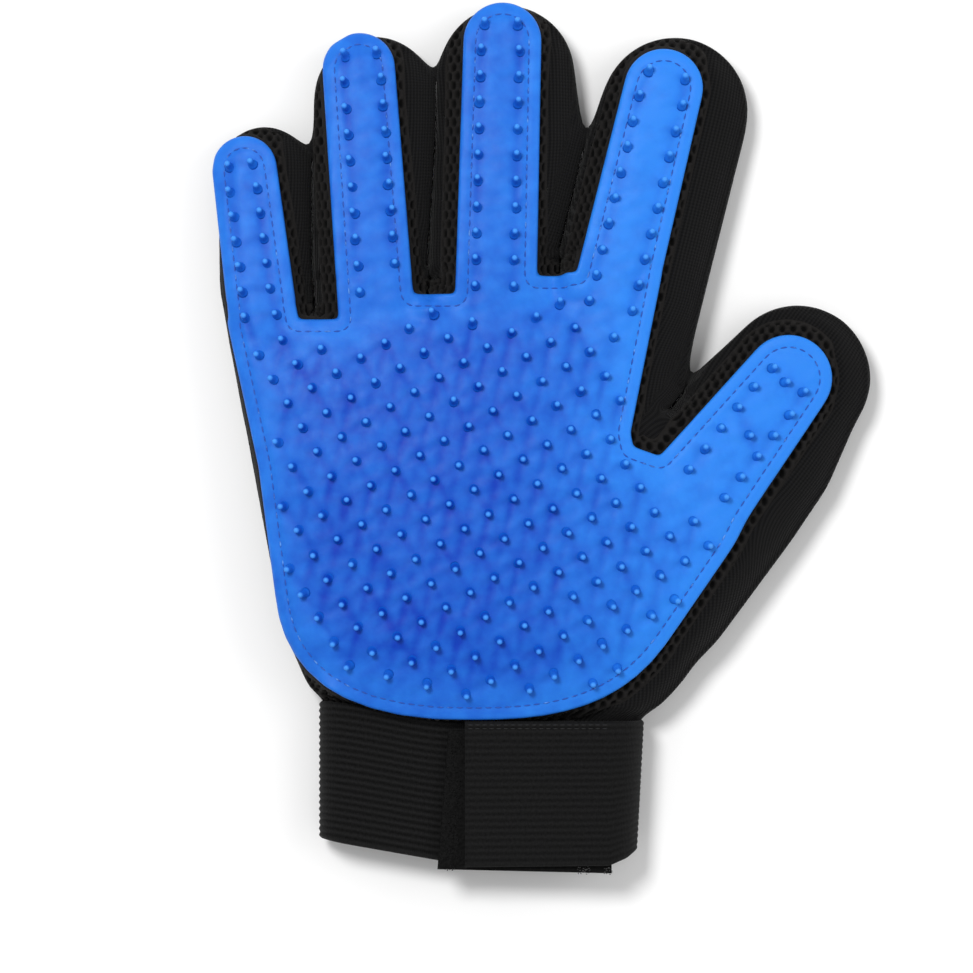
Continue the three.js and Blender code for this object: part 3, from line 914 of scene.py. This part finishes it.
def rib_coordinates(x, y):
    """Places measured across and along the ribs, which follow each finger and fan out over the palm."""
    across, along = x.copy(), y.copy()
    for finger in ("index", "thumb"):
        hinge = hinges[finger]
        share = smoothstep(-30, 0, hinge.beyond(x, y)) * (hinge.aside(x, y) > hinge.low - 4)
        own = x * hinge.across[0] + y * hinge.across[1], x * hinge.along[0] + y * hinge.along[1]
        across = across * (1 - share) + own[0] * share
        along = along * (1 - share) + own[1] * share
    return across, along


build_fabrics()


# ---- The brush pad ----

def find_nubs():
    """The CAD's nubs, as their tips and their leans. A tip's only neighbours are the corners of its foot."""
    tips, leans = [], []
    for body in BODIES:
        mesh = frame["nodes"][f"{body}_brush_pad"].data
        number, beside = {}, {}
        for face in mesh.polygons:
            corners = [tuple(round(c / MM, 2) for c in mesh.vertices[v].co) for v in face.vertices]
            ids = [number.setdefault(corner, len(number)) for corner in corners]
            for n in ids:
                beside.setdefault(n, set()).update(ids)
        places = np.array(list(number))
        for n, others in beside.items():
            legs = places[n] - places[sorted(others - {n})]
            lengths = np.linalg.norm(legs, axis=1)
            lean = legs.mean(0)
            even = lengths.min() > 0.6 * NUB_HEIGHT and lengths.max() < 1.5 * NUB_HEIGHT
            if even and lean[2] > NUB_HEIGHT / 2:
                tips.append(places[n])
                leans.append(lean / np.linalg.norm(lean))
    return np.array(tips), np.array(leans)


def crosses_root(place, run, reach=9.0):
    """True where a place is near a finger's root and a direction runs along that finger."""
    return any(hinge.holds(*place, reach) and abs(hinge.beyond(*place)) < reach
               and abs(run @ hinge.along) > 0.96 * np.linalg.norm(run) for hinge in hinges.values())


def with_root_nubs(tips, leans):
    """Adds the nubs over the finger roots, which the CAD leaves out, between the ones beside them."""
    tips, leans = list(tips), list(leans)
    pairs = [(a, b) for a in range(len(tips)) for b in range(a)
             if 1.75 * NUB_PITCH < math.dist(tips[a], tips[b]) < 2.25 * NUB_PITCH]
    for a, b in pairs:
        middle, run = (tips[a] + tips[b]) / 2, (tips[a] - tips[b])[:2]
        clear = min(math.dist(middle[:2], tip[:2]) for tip in tips) > 0.82 * NUB_PITCH
        on_pad = float(pad_distance(*middle[:2, None])[0]) > STITCH_INSET
        if clear and on_pad and crosses_root(middle[:2], run):
            tips.append(middle)
            leans.append((leans[a] + leans[b]) / 2)
    return np.array(tips), np.array(leans)


nub_tips, nub_leans = with_root_nubs(*find_nubs())
nub_feet = nub_tips[:, :2] - nub_leans[:, :2] * NUB_HEIGHT


def pad_base(x, y):
    """Height of the pad's upper face before its small relief."""
    reach = plan.read(hand_edge, x, y) + OVERHANG
    return BELLY + filling(x, y) * crown(np.maximum(reach, 0.3)) + PAD_LIFT + PAD_THICKNESS


def linked_nubs(feet):
    """Pairs of nubs that a crease joins, each with its higher one first."""
    for n, first in enumerate(feet):
        for second in feet[n + 1:]:
            length = math.dist(first, second)
            steep = abs(first[1] - second[1]) / length
            if length <= (LINK if steep < 0.93 else LONG_LINK):
                yield (first, second) if first[1] > second[1] else (second, first)


def pad_creases(feet, width=1.2, margin=3.0):
    """Soft creases that run from nub to nub, mostly along the hand, as a depth from 0 to 1."""
    depth = np.zeros_like(pad_plan.x)
    random = np.random.RandomState(31)
    for a, b in linked_nubs(feet):
        run = b - a
        length = np.linalg.norm(run)
        steep = abs(run[1]) / length
        low = ((np.minimum(a, b) - margin - pad_plan.low) / PAD_PITCH).astype(int)
        high = ((np.maximum(a, b) + margin - pad_plan.low) / PAD_PITCH).astype(int)
        near = (slice(max(low[0], 0), high[0]), slice(max(low[1], 0), high[1]))
        x, y = pad_plan.x[near] - a[0], pad_plan.y[near] - a[1]
        share = np.clip((x * run[0] + y * run[1]) / length ** 2, 0, 1)
        away = np.hypot(x - share * run[0], y - share * run[1])
        strength = random.uniform(0.3, 1) * (0.3 + 0.7 * steep ** 2) * (1 - 0.6 * share)
        fold = strength * np.exp(-(away / width / random.uniform(0.8, 1.4)) ** 2)
        depth[near] = np.maximum(depth[near], fold)
    return pad_plan.blur(depth, 0.45)


def pad_relief():
    """Creases between the nubs, soft unevenness and the channel that the stitching lies in."""
    x, y = pad_plan.x, pad_plan.y
    waves = 0.14 * ripple(x, y, 12, 21) + 0.12 * ripple(x, y, 5, 22)
    faint_waves = 0.04 * ripple(x, y, 9, 23)
    folds = 0.4 * creases
    inner = smoothstep(STITCH_INSET - 0.6, STITCH_INSET + 1.4, pad_edge)
    channel = 0.2 * np.exp(-((pad_edge - STITCH_INSET) / 0.55) ** 2)
    return (waves - folds) * inner + faint_waves - channel


def pad_tone(x, y):
    """How deep the painted shade on the silicone is, standing in for how the light falls on the pad.

    It is deepest low on the palm and in the creases, and painted light makes it paler to both sides and to
    the fingertips.
    """
    # Painted shade deepens away from the pad's edge.
    middle = 0.25 * smoothstep(STITCH_INSET, STITCH_INSET + 14, pad_distance(x, y))
    thumb_side = -0.7 * smoothstep(-22, 42, x)
    pinky_side = -0.1 * smoothstep(-40, -80, x)
    fingertips = -0.1 * smoothstep(-60, 60, y)
    # Painted shade in the creases.
    folds = 0.9 * pad_plan.read(creases, x, y)
    return 0.65 + middle + thumb_side + pinky_side + fingertips + folds


def outward_lean(x, y):
    """Nubs lean a little away from the middle of the palm, as the sheet is bent over the hand."""
    return 0.2 * (x - palm_middle[0]) / 100, 0.3 * (y - palm_middle[1]) / 100


palm_box = [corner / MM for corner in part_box("palm_brush_pad")]
palm_middle = ((palm_box[0] + palm_box[1]) / 2)[:2]
creases = pad_creases(nub_feet)
pad_top = pad_base(pad_plan.x, pad_plan.y) + pad_relief()
pad_rise_x, pad_rise_y = pad_plan.slope(pad_top)


def pad_height(x, y):
    """Height of the pad's upper face."""
    return pad_plan.read(pad_top, x, y)


def pad_normal(x, y):
    rise_x, rise_y = pad_plan.read(pad_rise_x, x, y), pad_plan.read(pad_rise_y, x, y)
    normal = np.stack([-rise_x, -rise_y, np.ones_like(x)], -1)
    return normal / np.linalg.norm(normal, axis=-1, keepdims=True)


def pad_faces():
    """Points, normals and faces of the pad's two sides, which meet at a round edge."""
    rounded, settled = 1.2, 2.5  # the round edge and the cells drawn towards it, before they are moved
    sheet = flat_sheet(pad_plan, pad_edge)
    split_at_fingers(sheet)
    x, y, faces = sheet_arrays(sheet)
    sheet.free()
    inset = np.maximum(pad_distance(x, y), 0)
    inset[inset < ON_EDGE] = 0
    turn = np.clip(inset / rounded, 0, 1) * math.pi / 2
    beyond = PAD_RIM + (inset - rounded) * (settled - PAD_RIM) / (settled - rounded)
    placed = np.where(inset < rounded, PAD_RIM * (1 - np.cos(turn)), np.where(inset < settled, beyond, inset))
    out = np.stack([-pad_plan.read(pad_slope_x, x, y), -pad_plan.read(pad_slope_y, x, y)], 1)
    out /= np.maximum(np.linalg.norm(out, axis=1, keepdims=True), 0.3)
    x, y = (np.stack([x, y], 1) + out * (inset - placed)[:, None]).T
    middle = pad_height(x, y) - PAD_RIM
    top = np.stack([x, y, middle + PAD_RIM * np.sin(turn)], 1)
    bottom = np.stack([x, y, middle - PAD_RIM * np.sin(turn)], 1)
    upright = pad_normal(x, y) * np.sin(turn)[:, None]
    sideways = np.column_stack([out, 0 * x]) * np.cos(turn)[:, None]
    return top, bottom, upright + sideways, sideways - upright, faces, inset == 0


def walls(faces, under):
    """Faces between two sides of a sheet, along the edges where it is cut."""
    edges = dict.fromkeys((a, b) for face in faces for a, b in zip(face, face[1:] + face[:1]))
    made = []
    for a, b in edges:
        if (b, a) not in edges and (under[a] != a or under[b] != b):
            made.append([b, a] + [p for p in (under[a], under[b]) if p not in (a, b)])
    return made


def ring_faces(rings, sides):
    """Faces of a tube of rings of points, which follow each other in one list."""
    faces = []
    for ring in range(rings - 1):
        for k in range(sides):
            a, b = ring * sides + k, ring * sides + (k + 1) % sides
            faces.append([a, b, b + sides, a + sides])
    return faces


def nub(foot, lean, random, sides=12):
    """A slender peg with a round tip and a slightly flared foot, and how near the tip each point is."""
    profile = [(1.6, -0.25), (1.3, 0.1), (1.08, 0.55), (0.98, 1.3), (0.92, 2.2), (0.82, 2.75), (0.52, 3.14)]
    lean = lean + (*outward_lean(*foot), 0) + (*random.normal(0, 0.05, 2), 0)
    lean = lean / np.linalg.norm(lean)
    scale = random.normal(1, 0.03)
    foot = np.array([*foot, float(pad_height(*np.array(foot)[:, None])[0])])
    side = np.cross(lean, (0, 1, 0))
    side /= np.linalg.norm(side)
    other = np.cross(lean, side)
    points = []
    for radius, height in profile:
        for turn in np.arange(sides) * TURN / sides:
            spoke = side * math.cos(turn) + other * math.sin(turn)
            points.append(foot + lean * height * scale + radius * spoke)
    points.append(foot + lean * NUB_HEIGHT * scale)
    faces = [[a, d, c, b] for a, b, c, d in ring_faces(len(profile), sides)]
    last = (len(profile) - 1) * sides
    faces += [[last + k, last + sides, last + (k + 1) % sides] for k in range(sides)]
    faces.append(list(range(sides)))
    climb = [height / NUB_HEIGHT for _, height in profile for _ in range(sides)] + [1.0]
    return points, faces, climb


def joined(parts):
    """Several sets of points and faces as one."""
    points, faces, base = [], [], 0
    for some_points, some_faces, *_ in parts:
        points.append(np.asarray(some_points))
        faces += [[base + i for i in f] for f in some_faces]
        base += len(some_points)
    return np.vstack(points), faces


def build_pads():
    """The brush pad's sheet, with its nubs."""
    top, bottom, top_normals, bottom_normals, faces, on_rim = pad_faces()
    under = lower_points(on_rim)
    points = np.vstack([top, bottom])
    normals = np.vstack([top_normals, bottom_normals])
    # Painted shade and light over the pad's sheet, the same on both its sides.
    tone = np.tile(pad_tone(top[:, 0], top[:, 1]), 2)
    owner = body_of_places(*face_centres(top[:, 0], top[:, 1], faces))
    nub_owner = body_of_places(nub_feet[:, 0], nub_feet[:, 1])
    random = np.random.RandomState(5)
    nubs = [nub(foot, lean, random) for foot, lean in zip(nub_feet, nub_leans)]
    for n, name in enumerate(BODIES):
        upper = [faces[k] for k in np.flatnonzero(owner == n)]
        shell = upper + mirrored(upper, under) + walls(upper, under)
        kept, used = pick(shell, range(len(shell)))
        own = [nubs[k] for k in np.flatnonzero(nub_owner == n)]
        nub_points, nub_faces = joined(own)
        nub_normals = vertex_normals(nub_points, nub_faces)
        all_points, all_faces = joined([(points[used], kept), (nub_points, nub_faces)])
        # The sheet is given SHEET_CLIMB, so no painted nub shade falls on it.
        climb = np.concatenate([np.full(len(used), SHEET_CLIMB), *[part[2] for part in own]])
        # The nubs take the painted shade of the places where they stand.
        own_tone = np.concatenate([tone[used], pad_tone(nub_points[:, 0], nub_points[:, 1])])
        own_normals = np.vstack([normals[used], nub_normals])
        piece = mesh_object(f"{name}_pad", all_points, all_faces, silicone, own_normals,
                            cloth=all_points, climb=climb, tone=own_tone)
        hang_on(piece, name)
        enter("silicone", f"{name}_brush_pad")


# ---- Stitching ----

def contour(grid, field, level, shortest=40):
    """The lines along which a field has one level, as lists of places, without short scraps."""
    above = field > level
    links = {}
    for i, j in np.argwhere(above[:-1, :-1] ^ above[1:, 1:] | above[1:, :-1] ^ above[:-1, 1:]):
        a, b, c, d = (i, j), (i + 1, j), (i + 1, j + 1), (i, j + 1)
        crossed = [side for side in ((a, b), (b, c), (d, c), (a, d)) if above[side[0]] != above[side[1]]]
        for n in range(0, len(crossed) - 1, 2):
            links.setdefault(crossed[n], []).append(crossed[n + 1])
            links.setdefault(crossed[n + 1], []).append(crossed[n])

    def place(side):
        a, b = side
        share = (level - field[a]) / (field[b] - field[a])
        return [grid.x[a] + share * (grid.x[b] - grid.x[a]), grid.y[a] + share * (grid.y[b] - grid.y[a])]

    lines, seen = [], set()
    for start in list(links):
        if start in seen:
            continue
        line, here = [], start
        while here is not None:
            seen.add(here)
            line.append(place(here))
            here = next((side for side in links[here] if side not in seen), None)
        lines.append(np.array(line + line[:1]))
    return [line for line in lines if len(line) > shortest]


def stitch(points, radius, sides=6):
    """A short thread along some points, thin where it dives in at its ends."""
    points = np.asarray(points)
    along = np.gradient(points, axis=0)
    along /= np.linalg.norm(along, axis=1, keepdims=True)
    side = np.cross(along, (0, 0, 1.0))
    side /= np.maximum(np.linalg.norm(side, axis=1, keepdims=True), 1e-6)
    up = np.cross(side, along)
    swell = 0.35 + 0.65 * np.sin(np.linspace(0, math.pi, len(points))) ** 0.6
    turns = TURN * np.arange(sides) / sides
    rings = [p + radius * w * (math.cos(t) * s + math.sin(t) * u)
             for p, w, s, u in zip(points, swell, side, up) for t in turns]
    last = (len(points) - 1) * sides
    caps = [list(range(sides))[::-1], [last + k for k in range(sides)]]
    return rings, ring_faces(len(points), sides) + caps


def travel(path):
    """Distance travelled at each point of a path."""
    return np.concatenate([[0], np.cumsum(np.linalg.norm(np.diff(path, axis=0), axis=1))])


def stitches_along(line, height, pitch=2.6, length=1.9, radius=0.2, rise=0.14, sunk=0.06, steps=5):
    """A row of stitches along a line of places, lying on a surface of some height."""
    travelled = travel(line)
    lift = rise * np.sin(np.linspace(0, math.pi, steps)) - sunk
    made = []
    for n in range(int(travelled[-1] / pitch)):
        at = n * pitch + np.linspace(0, length, steps)
        x, y = (np.interp(at, travelled, line[:, k]) for k in (0, 1))
        made.append(stitch(np.stack([x, y, height(x, y) + lift], 1), radius))
    return made


def build_pad_stitching():
    """The stitches that hold the pad, all round it."""
    rows = [s for line in contour(pad_plan, pad_edge, STITCH_INSET) for s in stitches_along(line, pad_height)]
    middles = np.array([np.mean(points, axis=0) for points, _ in rows])
    owner = body_of_places(middles[:, 0], middles[:, 1])
    for n, name in enumerate(BODIES):
        points, faces = joined([rows[k] for k in np.flatnonzero(owner == n)])
        piece = mesh_object(f"{name}_pad_stitching", points, faces, thread, cloth=points)
        hang_on(piece, name)
        enter("silicone")


build_pads()
build_pad_stitching()


# ---- The wrist band, its strap and their fastening ----

def arc(centre, radius, start, end, steps=14):
    """Points on an arc between two angles in degrees."""
    turns = np.radians(np.linspace(start, end, steps))
    return np.stack([centre[0] + radius * np.cos(turns), centre[1] + radius * np.sin(turns)], 1)


def evenly(path, spacing):
    """Points at even steps along a path, and their distances along it."""
    travelled = travel(path)
    at = np.linspace(0, travelled[-1], int(travelled[-1] / spacing) + 1)
    return np.stack([np.interp(at, travelled, path[:, k]) for k in (0, 1)], 1), at


def ribbon_path():
    """The ribbon's outer face seen along the arm: from its inner end, round the wrist, to the strap's end."""
    left, right, bottom, top = band_low.x - 0.4, band_high.x, band_low.z, band_high.z
    half = (top - bottom) / 2
    band = np.vstack([
        [[INNER_END, top]],
        arc((left + half, bottom + half), half, 90, 270),
        arc((right - LAP_RADIUS, bottom + LAP_RADIUS), LAP_RADIUS, -90, 0),
    ])
    strap = np.vstack([
        arc((right - LAP_RADIUS, strap_high.z - LAP_RADIUS), LAP_RADIUS, 0, 90),
        [[strap_low.x, strap_high.z]],
    ])
    strap = np.vstack([band[-1:], strap])
    return band, strap


def webbing_section(height, relief):
    """The webbing's section, up its ribbed outer side and down its plain inner one.

    Each point has a share of the height, a depth under the outer face and a height on its rib.
    """
    ribs = round(height / RIB_PITCH)
    share = np.concatenate([np.linspace(0, 1, ribs * RIB_STEPS + 1), np.linspace(1, 0, ribs + 1)])
    outer = np.arange(len(share)) <= ribs * RIB_STEPS
    wave = 0.5 - 0.5 * np.cos(TURN * share * ribs)
    rounding = 0.5 * np.exp(-np.minimum(share, 1 - share) * height / 0.35)
    depth = np.where(outer, -relief * (1 - wave) - rounding, rounding - WEBBING)
    return share, depth, wave, ribs


def webbing_cap(base, ribs):
    """Faces that close a section, between its outer side and the fewer points of its inner side."""
    outer = ribs * RIB_STEPS + 1
    inner = [base + outer + int(round((1 - t) * ribs)) for t in np.linspace(0, 1, outer)]
    quads = [[base + k, base + k + 1, inner[k + 1], inner[k]] for k in range(outer - 1)]
    return [list(dict.fromkeys(quad)) for quad in quads]


def ribbon(path, lower, upper, relief, spacing=1.0):
    """A sweep of the webbing's section along a path in x and z. Its edges follow `lower` and `upper`."""
    line, travelled = evenly(path, spacing)
    tangent = np.gradient(line, axis=0)
    tangent /= np.linalg.norm(tangent, axis=1, keepdims=True)
    outward = np.stack([tangent[:, 1], -tangent[:, 0]], 1)
    height = float(np.mean([upper(x) - lower(x) for x in line[:, 0]]))
    share, depth, wave, ribs = webbing_section(height, relief)
    # The rib value is a painted highlight on each rib's crest, fainter where the relief is lower.
    contrast = min(relief / 0.3, 1)
    points, cloth, rib = [], [], []
    for (x, z), out, at in zip(line, outward, travelled):
        low, high = lower(x), upper(x)
        slant = TAPER * smoothstep(band_high.x - 16, band_high.x, x)
        for t, d, w in zip(share, depth, wave):
            points.append((x + out[0] * d - slant * (1 - t), low + t * (high - low), z + out[1] * d))
            cloth.append((at, t * height, 0))
            rib.append(0.5 + (w - 0.5) * contrast)
    faces = ring_faces(len(line), len(share))
    faces += [quad[::-1] for quad in webbing_cap(0, ribs)]
    faces += webbing_cap((len(line) - 1) * len(share), ribs)
    return np.array(points), faces, {"cloth": np.array(cloth), "rib": np.array(rib)}


def strap_lower(x):
    """The strap's lower edge, which turns up towards the fold."""
    level = strap_low.y + 0.4
    return np.interp(x, [strap_low.x, band_high.x - 9, band_high.x - 2.5, band_high.x],
                     [strap_low.y, level, level + 2, band_right_edge])


def strap_upper(x):
    """The strap's upper edge, which joins the band's at the fold."""
    return strap_high.y + 1.4 + 0 * x


def build_band():
    """The ribbed part of the ribbon, from its inner end round the wrist to the fold."""
    path, _ = ribbon_path()
    points, faces, attributes = ribbon(path, band_lower, band_upper, 0.36)
    piece = mesh_object("wrist_band_webbing", points, faces, elastic, **attributes)
    hang_on(piece, "palm")
    enter("elastic", "wrist_band")
    band_upper(0) - band_low.y
    float(travel(path)[-1])


def build_strap():
    """The smoother part of the ribbon, from the fold to the strap's end."""
    _, path = ribbon_path()
    points, faces, attributes = ribbon(path, strap_lower, strap_upper, 0.18)
    piece = mesh_object("strap_webbing", points, faces, elastic, **attributes)
    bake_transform(piece)
    enter("elastic", "strap_end")
    band_upper(0) - strap_low.y
    float(travel(path)[-1])


def strap_face(x, y):
    """Height of the strap's outer face."""
    return strap_high.z + 0 * x


def build_strap_stitching():
    """Two rows of grey thread by the strap's upper edge."""
    left, right = strap_low.x + 0.8, band_high.x - LAP_RADIUS
    rows = []
    for inset in (0.9, 1.9):
        y = strap_upper(0) - inset
        line = np.array([[left, y], [right, y]])
        rows += stitches_along(line, strap_face, pitch=1.9, length=1.4, radius=0.13, rise=0.1)
    points, faces = joined(rows)
    piece = mesh_object("strap_stitching", points, faces, grey_thread, cloth=points)
    hang_on(piece, "strap")
    enter("elastic")


def scattered(x, y, z, spread, random):
    """A place moved a little to any side."""
    return np.array([x, y, z]) + (*random.normal(0, spread, 2), 0)


def hook(place, up, size, random):
    """One nylon hook: a short wire, bent over to any side."""
    toward = random.uniform(0, 6.3)
    side = np.array([math.cos(toward), math.sin(toward), 0])
    rise = np.array([0, 0, up])
    bends = [(0, -0.2), (0, 0.55), (0.18, 0.95), (0.55, 1.0), (0.75, 0.72)]
    points = np.array([place + size * (s * side + u * rise) for s, u in bends])
    return stitch(points, 0.13, 4)


def tape_left(y):
    """The hook tape's left edge, which slants out towards its lower end."""
    share = (y - tape_low.y) / (tape_high.y - tape_low.y)
    return tape_low.x + share * 3.0


def tape_lower(x):
    """The hook tape's lower edge."""
    return np.interp(x, [tape_low.x, tape_high.x], [lowest_near("hook_tape", tape_low.x), tape_low.y])


def patch_left(y):
    """The loop patch's left edge."""
    return patch_low.x + 0 * y


def patch_lower(x):
    """The loop patch's lower edge."""
    return np.interp(x, [patch_low.x, patch_high.x], [lowest_near("loop_patch", patch_low.x), patch_low.y])


def slab(left, right, lower, upper, low, high, pitch, relief):
    """A thin slab with a soft woven face and rounded edges, as a height over a grid."""
    weave_x, weave_y = 0.9, 1.1
    rounding, rounding_reach = 0.35, 0.3
    across = int((right - left(upper)) / pitch)
    down = int((upper - lower(left(upper))) / pitch)
    points = []
    for side, level in ((1, high), (-1, low)):
        for i in range(across + 1):
            straight_x = left(upper) + (right - left(upper)) * i / across
            for j in range(down + 1):
                y = upper + (lower(straight_x) - upper) * j / down
                x = left(y) + (right - left(y)) * i / across
                inset = min(i, across - i, j, down - j) * pitch
                edge = rounding * math.exp(-inset / rounding_reach)
                weave = relief * math.sin(x * TURN / weave_x) * math.sin(y * TURN / weave_y)
                points.append((x, y, level - side * edge + (weave if side > 0 else 0)))
    return points, slab_faces(across, down)


def slab_faces(across, down):
    """Faces of a slab's upper side, its lower side and the wall round them."""
    row = down + 1
    size = (across + 1) * row
    quads = [[a, a + row, a + row + 1, a + 1] for i in range(across) for a in range(i * row, i * row + down)]
    faces = [quad[::-1] for quad in quads] + [[size + a for a in quad] for quad in quads]
    ring = [i * row for i in range(across + 1)]
    ring += [across * row + j for j in range(1, row)]
    ring += [i * row + down for i in range(across - 1, -1, -1)]
    ring += list(range(down - 1, 0, -1))
    return faces + [[a, b, b + size, a + size] for a, b in zip(ring, ring[1:] + ring[:1])]


def hooks_underneath(random, pitch=1.35):
    """Rows of hooks all over the tape's underside, which hold the loop patch."""
    for x in np.arange(tape_low.x + 1, tape_high.x - 0.4, pitch):
        for y in np.arange(tape_low.y + 0.8, tape_high.y - 0.5, pitch):
            if x > tape_left(y) + 0.4 and y > tape_lower(x) + 0.4:
                yield hook(scattered(x, y, tape_low.z + 0.5, 0.12, random), -1, 0.55, random)


def hooks_on_strip(random, pitch=0.75, share=0.55):
    """Short, patchy hooks on the strip of tape that shows beside the strap's end."""
    for y in np.arange(tape_low.y + 1, tape_high.y - 1, pitch):
        for x in np.arange(tape_left(y) + 0.5, strap_low.x - 1.2, pitch):
            if random.uniform() < share:
                yield hook(scattered(x, y, tape_high.z - 0.1, 0.15, random), 1, 0.42, random)


def hooks_at_corner(random, pitch=0.6, rows=3):
    """Frayed hooks in two clumps along the lower edge, by the tape's right corner."""
    for x in np.arange(tape_high.x - 9, tape_high.x + 0.3, pitch):
        if abs(x - tape_high.x + 4) > 1.6:
            for row in range(rows):
                y = tape_lower(x) + row * 0.7 + random.normal(0, 0.15)
                yield hook(np.array([x, y, tape_high.z - 0.1]), 1, 0.5, random)


def build_hook_tape():
    """Woven tape with its hooks. The frayed ones are a piece of their own, in a much paler copy of the nylon
    that paints the light they catch.
    """
    hooks_reach = 0.45  # how far the hooks stand out underneath
    base = slab(tape_left, tape_high.x, tape_lower, tape_high.y,
                tape_low.z + hooks_reach, tape_high.z, pitch=0.45, relief=0.05)
    random = np.random.RandomState(12)
    points, faces = joined([base, *hooks_underneath(random), *hooks_on_strip(random)])
    tape = mesh_object("hook_tape_nylon", points, faces, hook_nylon, cloth=points)
    hang_on(tape, "strap")
    enter("hook", "hook_tape")
    points, faces = joined(list(hooks_at_corner(random)))
    # The frayed hooks are painted pale, as painted light.
    frayed = mesh_object("hook_tape_frayed_hooks", points, faces, painted_lit_nylon, cloth=points)
    hang_on(frayed, "strap")
    enter("hook")


def build_loop_patch():
    """Napped tape sewn to the band, with a fuzzy face."""
    points, faces = slab(patch_left, patch_high.x, patch_lower, patch_high.y,
                         band_high.z - 0.15, patch_high.z - 0.1, pitch=0.5, relief=0.12)
    piece = mesh_object("loop_patch_nap", points, faces, loop_nap, cloth=points)
    hang_on(piece, "palm")
    enter("loop", "loop_patch")


build_band()
build_strap()
build_strap_stitching()
build_hook_tape()
build_loop_patch()


# ---- The stage ----

def build_stage(size=3.0, below=0.0002):
    """A pale floor, just below the glove."""
    floor_material = Nodes("pale_floor", (0.93, 0.93, 0.93), 0.9)
    floor_mesh = bpy.data.meshes.new("floor")
    corners = [(-size, -size, 0), (size, -size, 0), (size, size, 0), (-size, size, 0)]
    floor_mesh.from_pydata(corners, [], [(0, 1, 2, 3)])
    floor_mesh.materials.append(floor_material.material)
    floor = bpy.data.objects.new("floor", floor_mesh)
    floor.location.z = -below
    bpy.context.scene.collection.objects.link(floor)


def area_light(name, place, target, size, power):
    """A round soft light that shines on a target."""
    data = bpy.data.lights.new(name, "AREA")
    data.shape = "DISK"
    data.size = size
    data.energy = power
    light = bpy.data.objects.new(name, data)
    light.location = place
    light.rotation_euler = (Vector(target) - Vector(place)).to_track_quat("-Z", "Y").to_euler()
    bpy.context.scene.collection.objects.link(light)


def build_lights():
    """A white studio, with a key light beyond the little finger's tip and a fill light by the thumb."""
    world = bpy.data.worlds.new("studio")
    world.use_nodes = True
    background = world.node_tree.nodes["Background"]
    background.inputs["Color"].default_value = (1, 1, 1, 1)
    background.inputs["Strength"].default_value = 0.56
    bpy.context.scene.world = world
    area_light("key", (-0.42, 0.45, 1.22), (0, 0, 0), 0.4, 11.5)
    area_light("fill", (0.95, 0.15, 0.8), (0.03, 0, 0), 0.9, 3.5)
    bpy.context.scene.view_settings.view_transform = "Standard"


def build_camera():
    """A long lens straight above the glove."""
    view_width, view_level = 0.263, 0.012  # the view is this wide at this height
    middle = (-0.0145, -0.0134)
    data = bpy.data.cameras.new("camera")
    data.lens = 180
    height = view_width * data.lens / data.sensor_width + view_level
    camera = bpy.data.objects.new("camera", data)
    camera.location = (*middle, height)
    bpy.context.scene.collection.objects.link(camera)
    bpy.context.scene.camera = camera


build_stage()
build_lights()
build_camera()
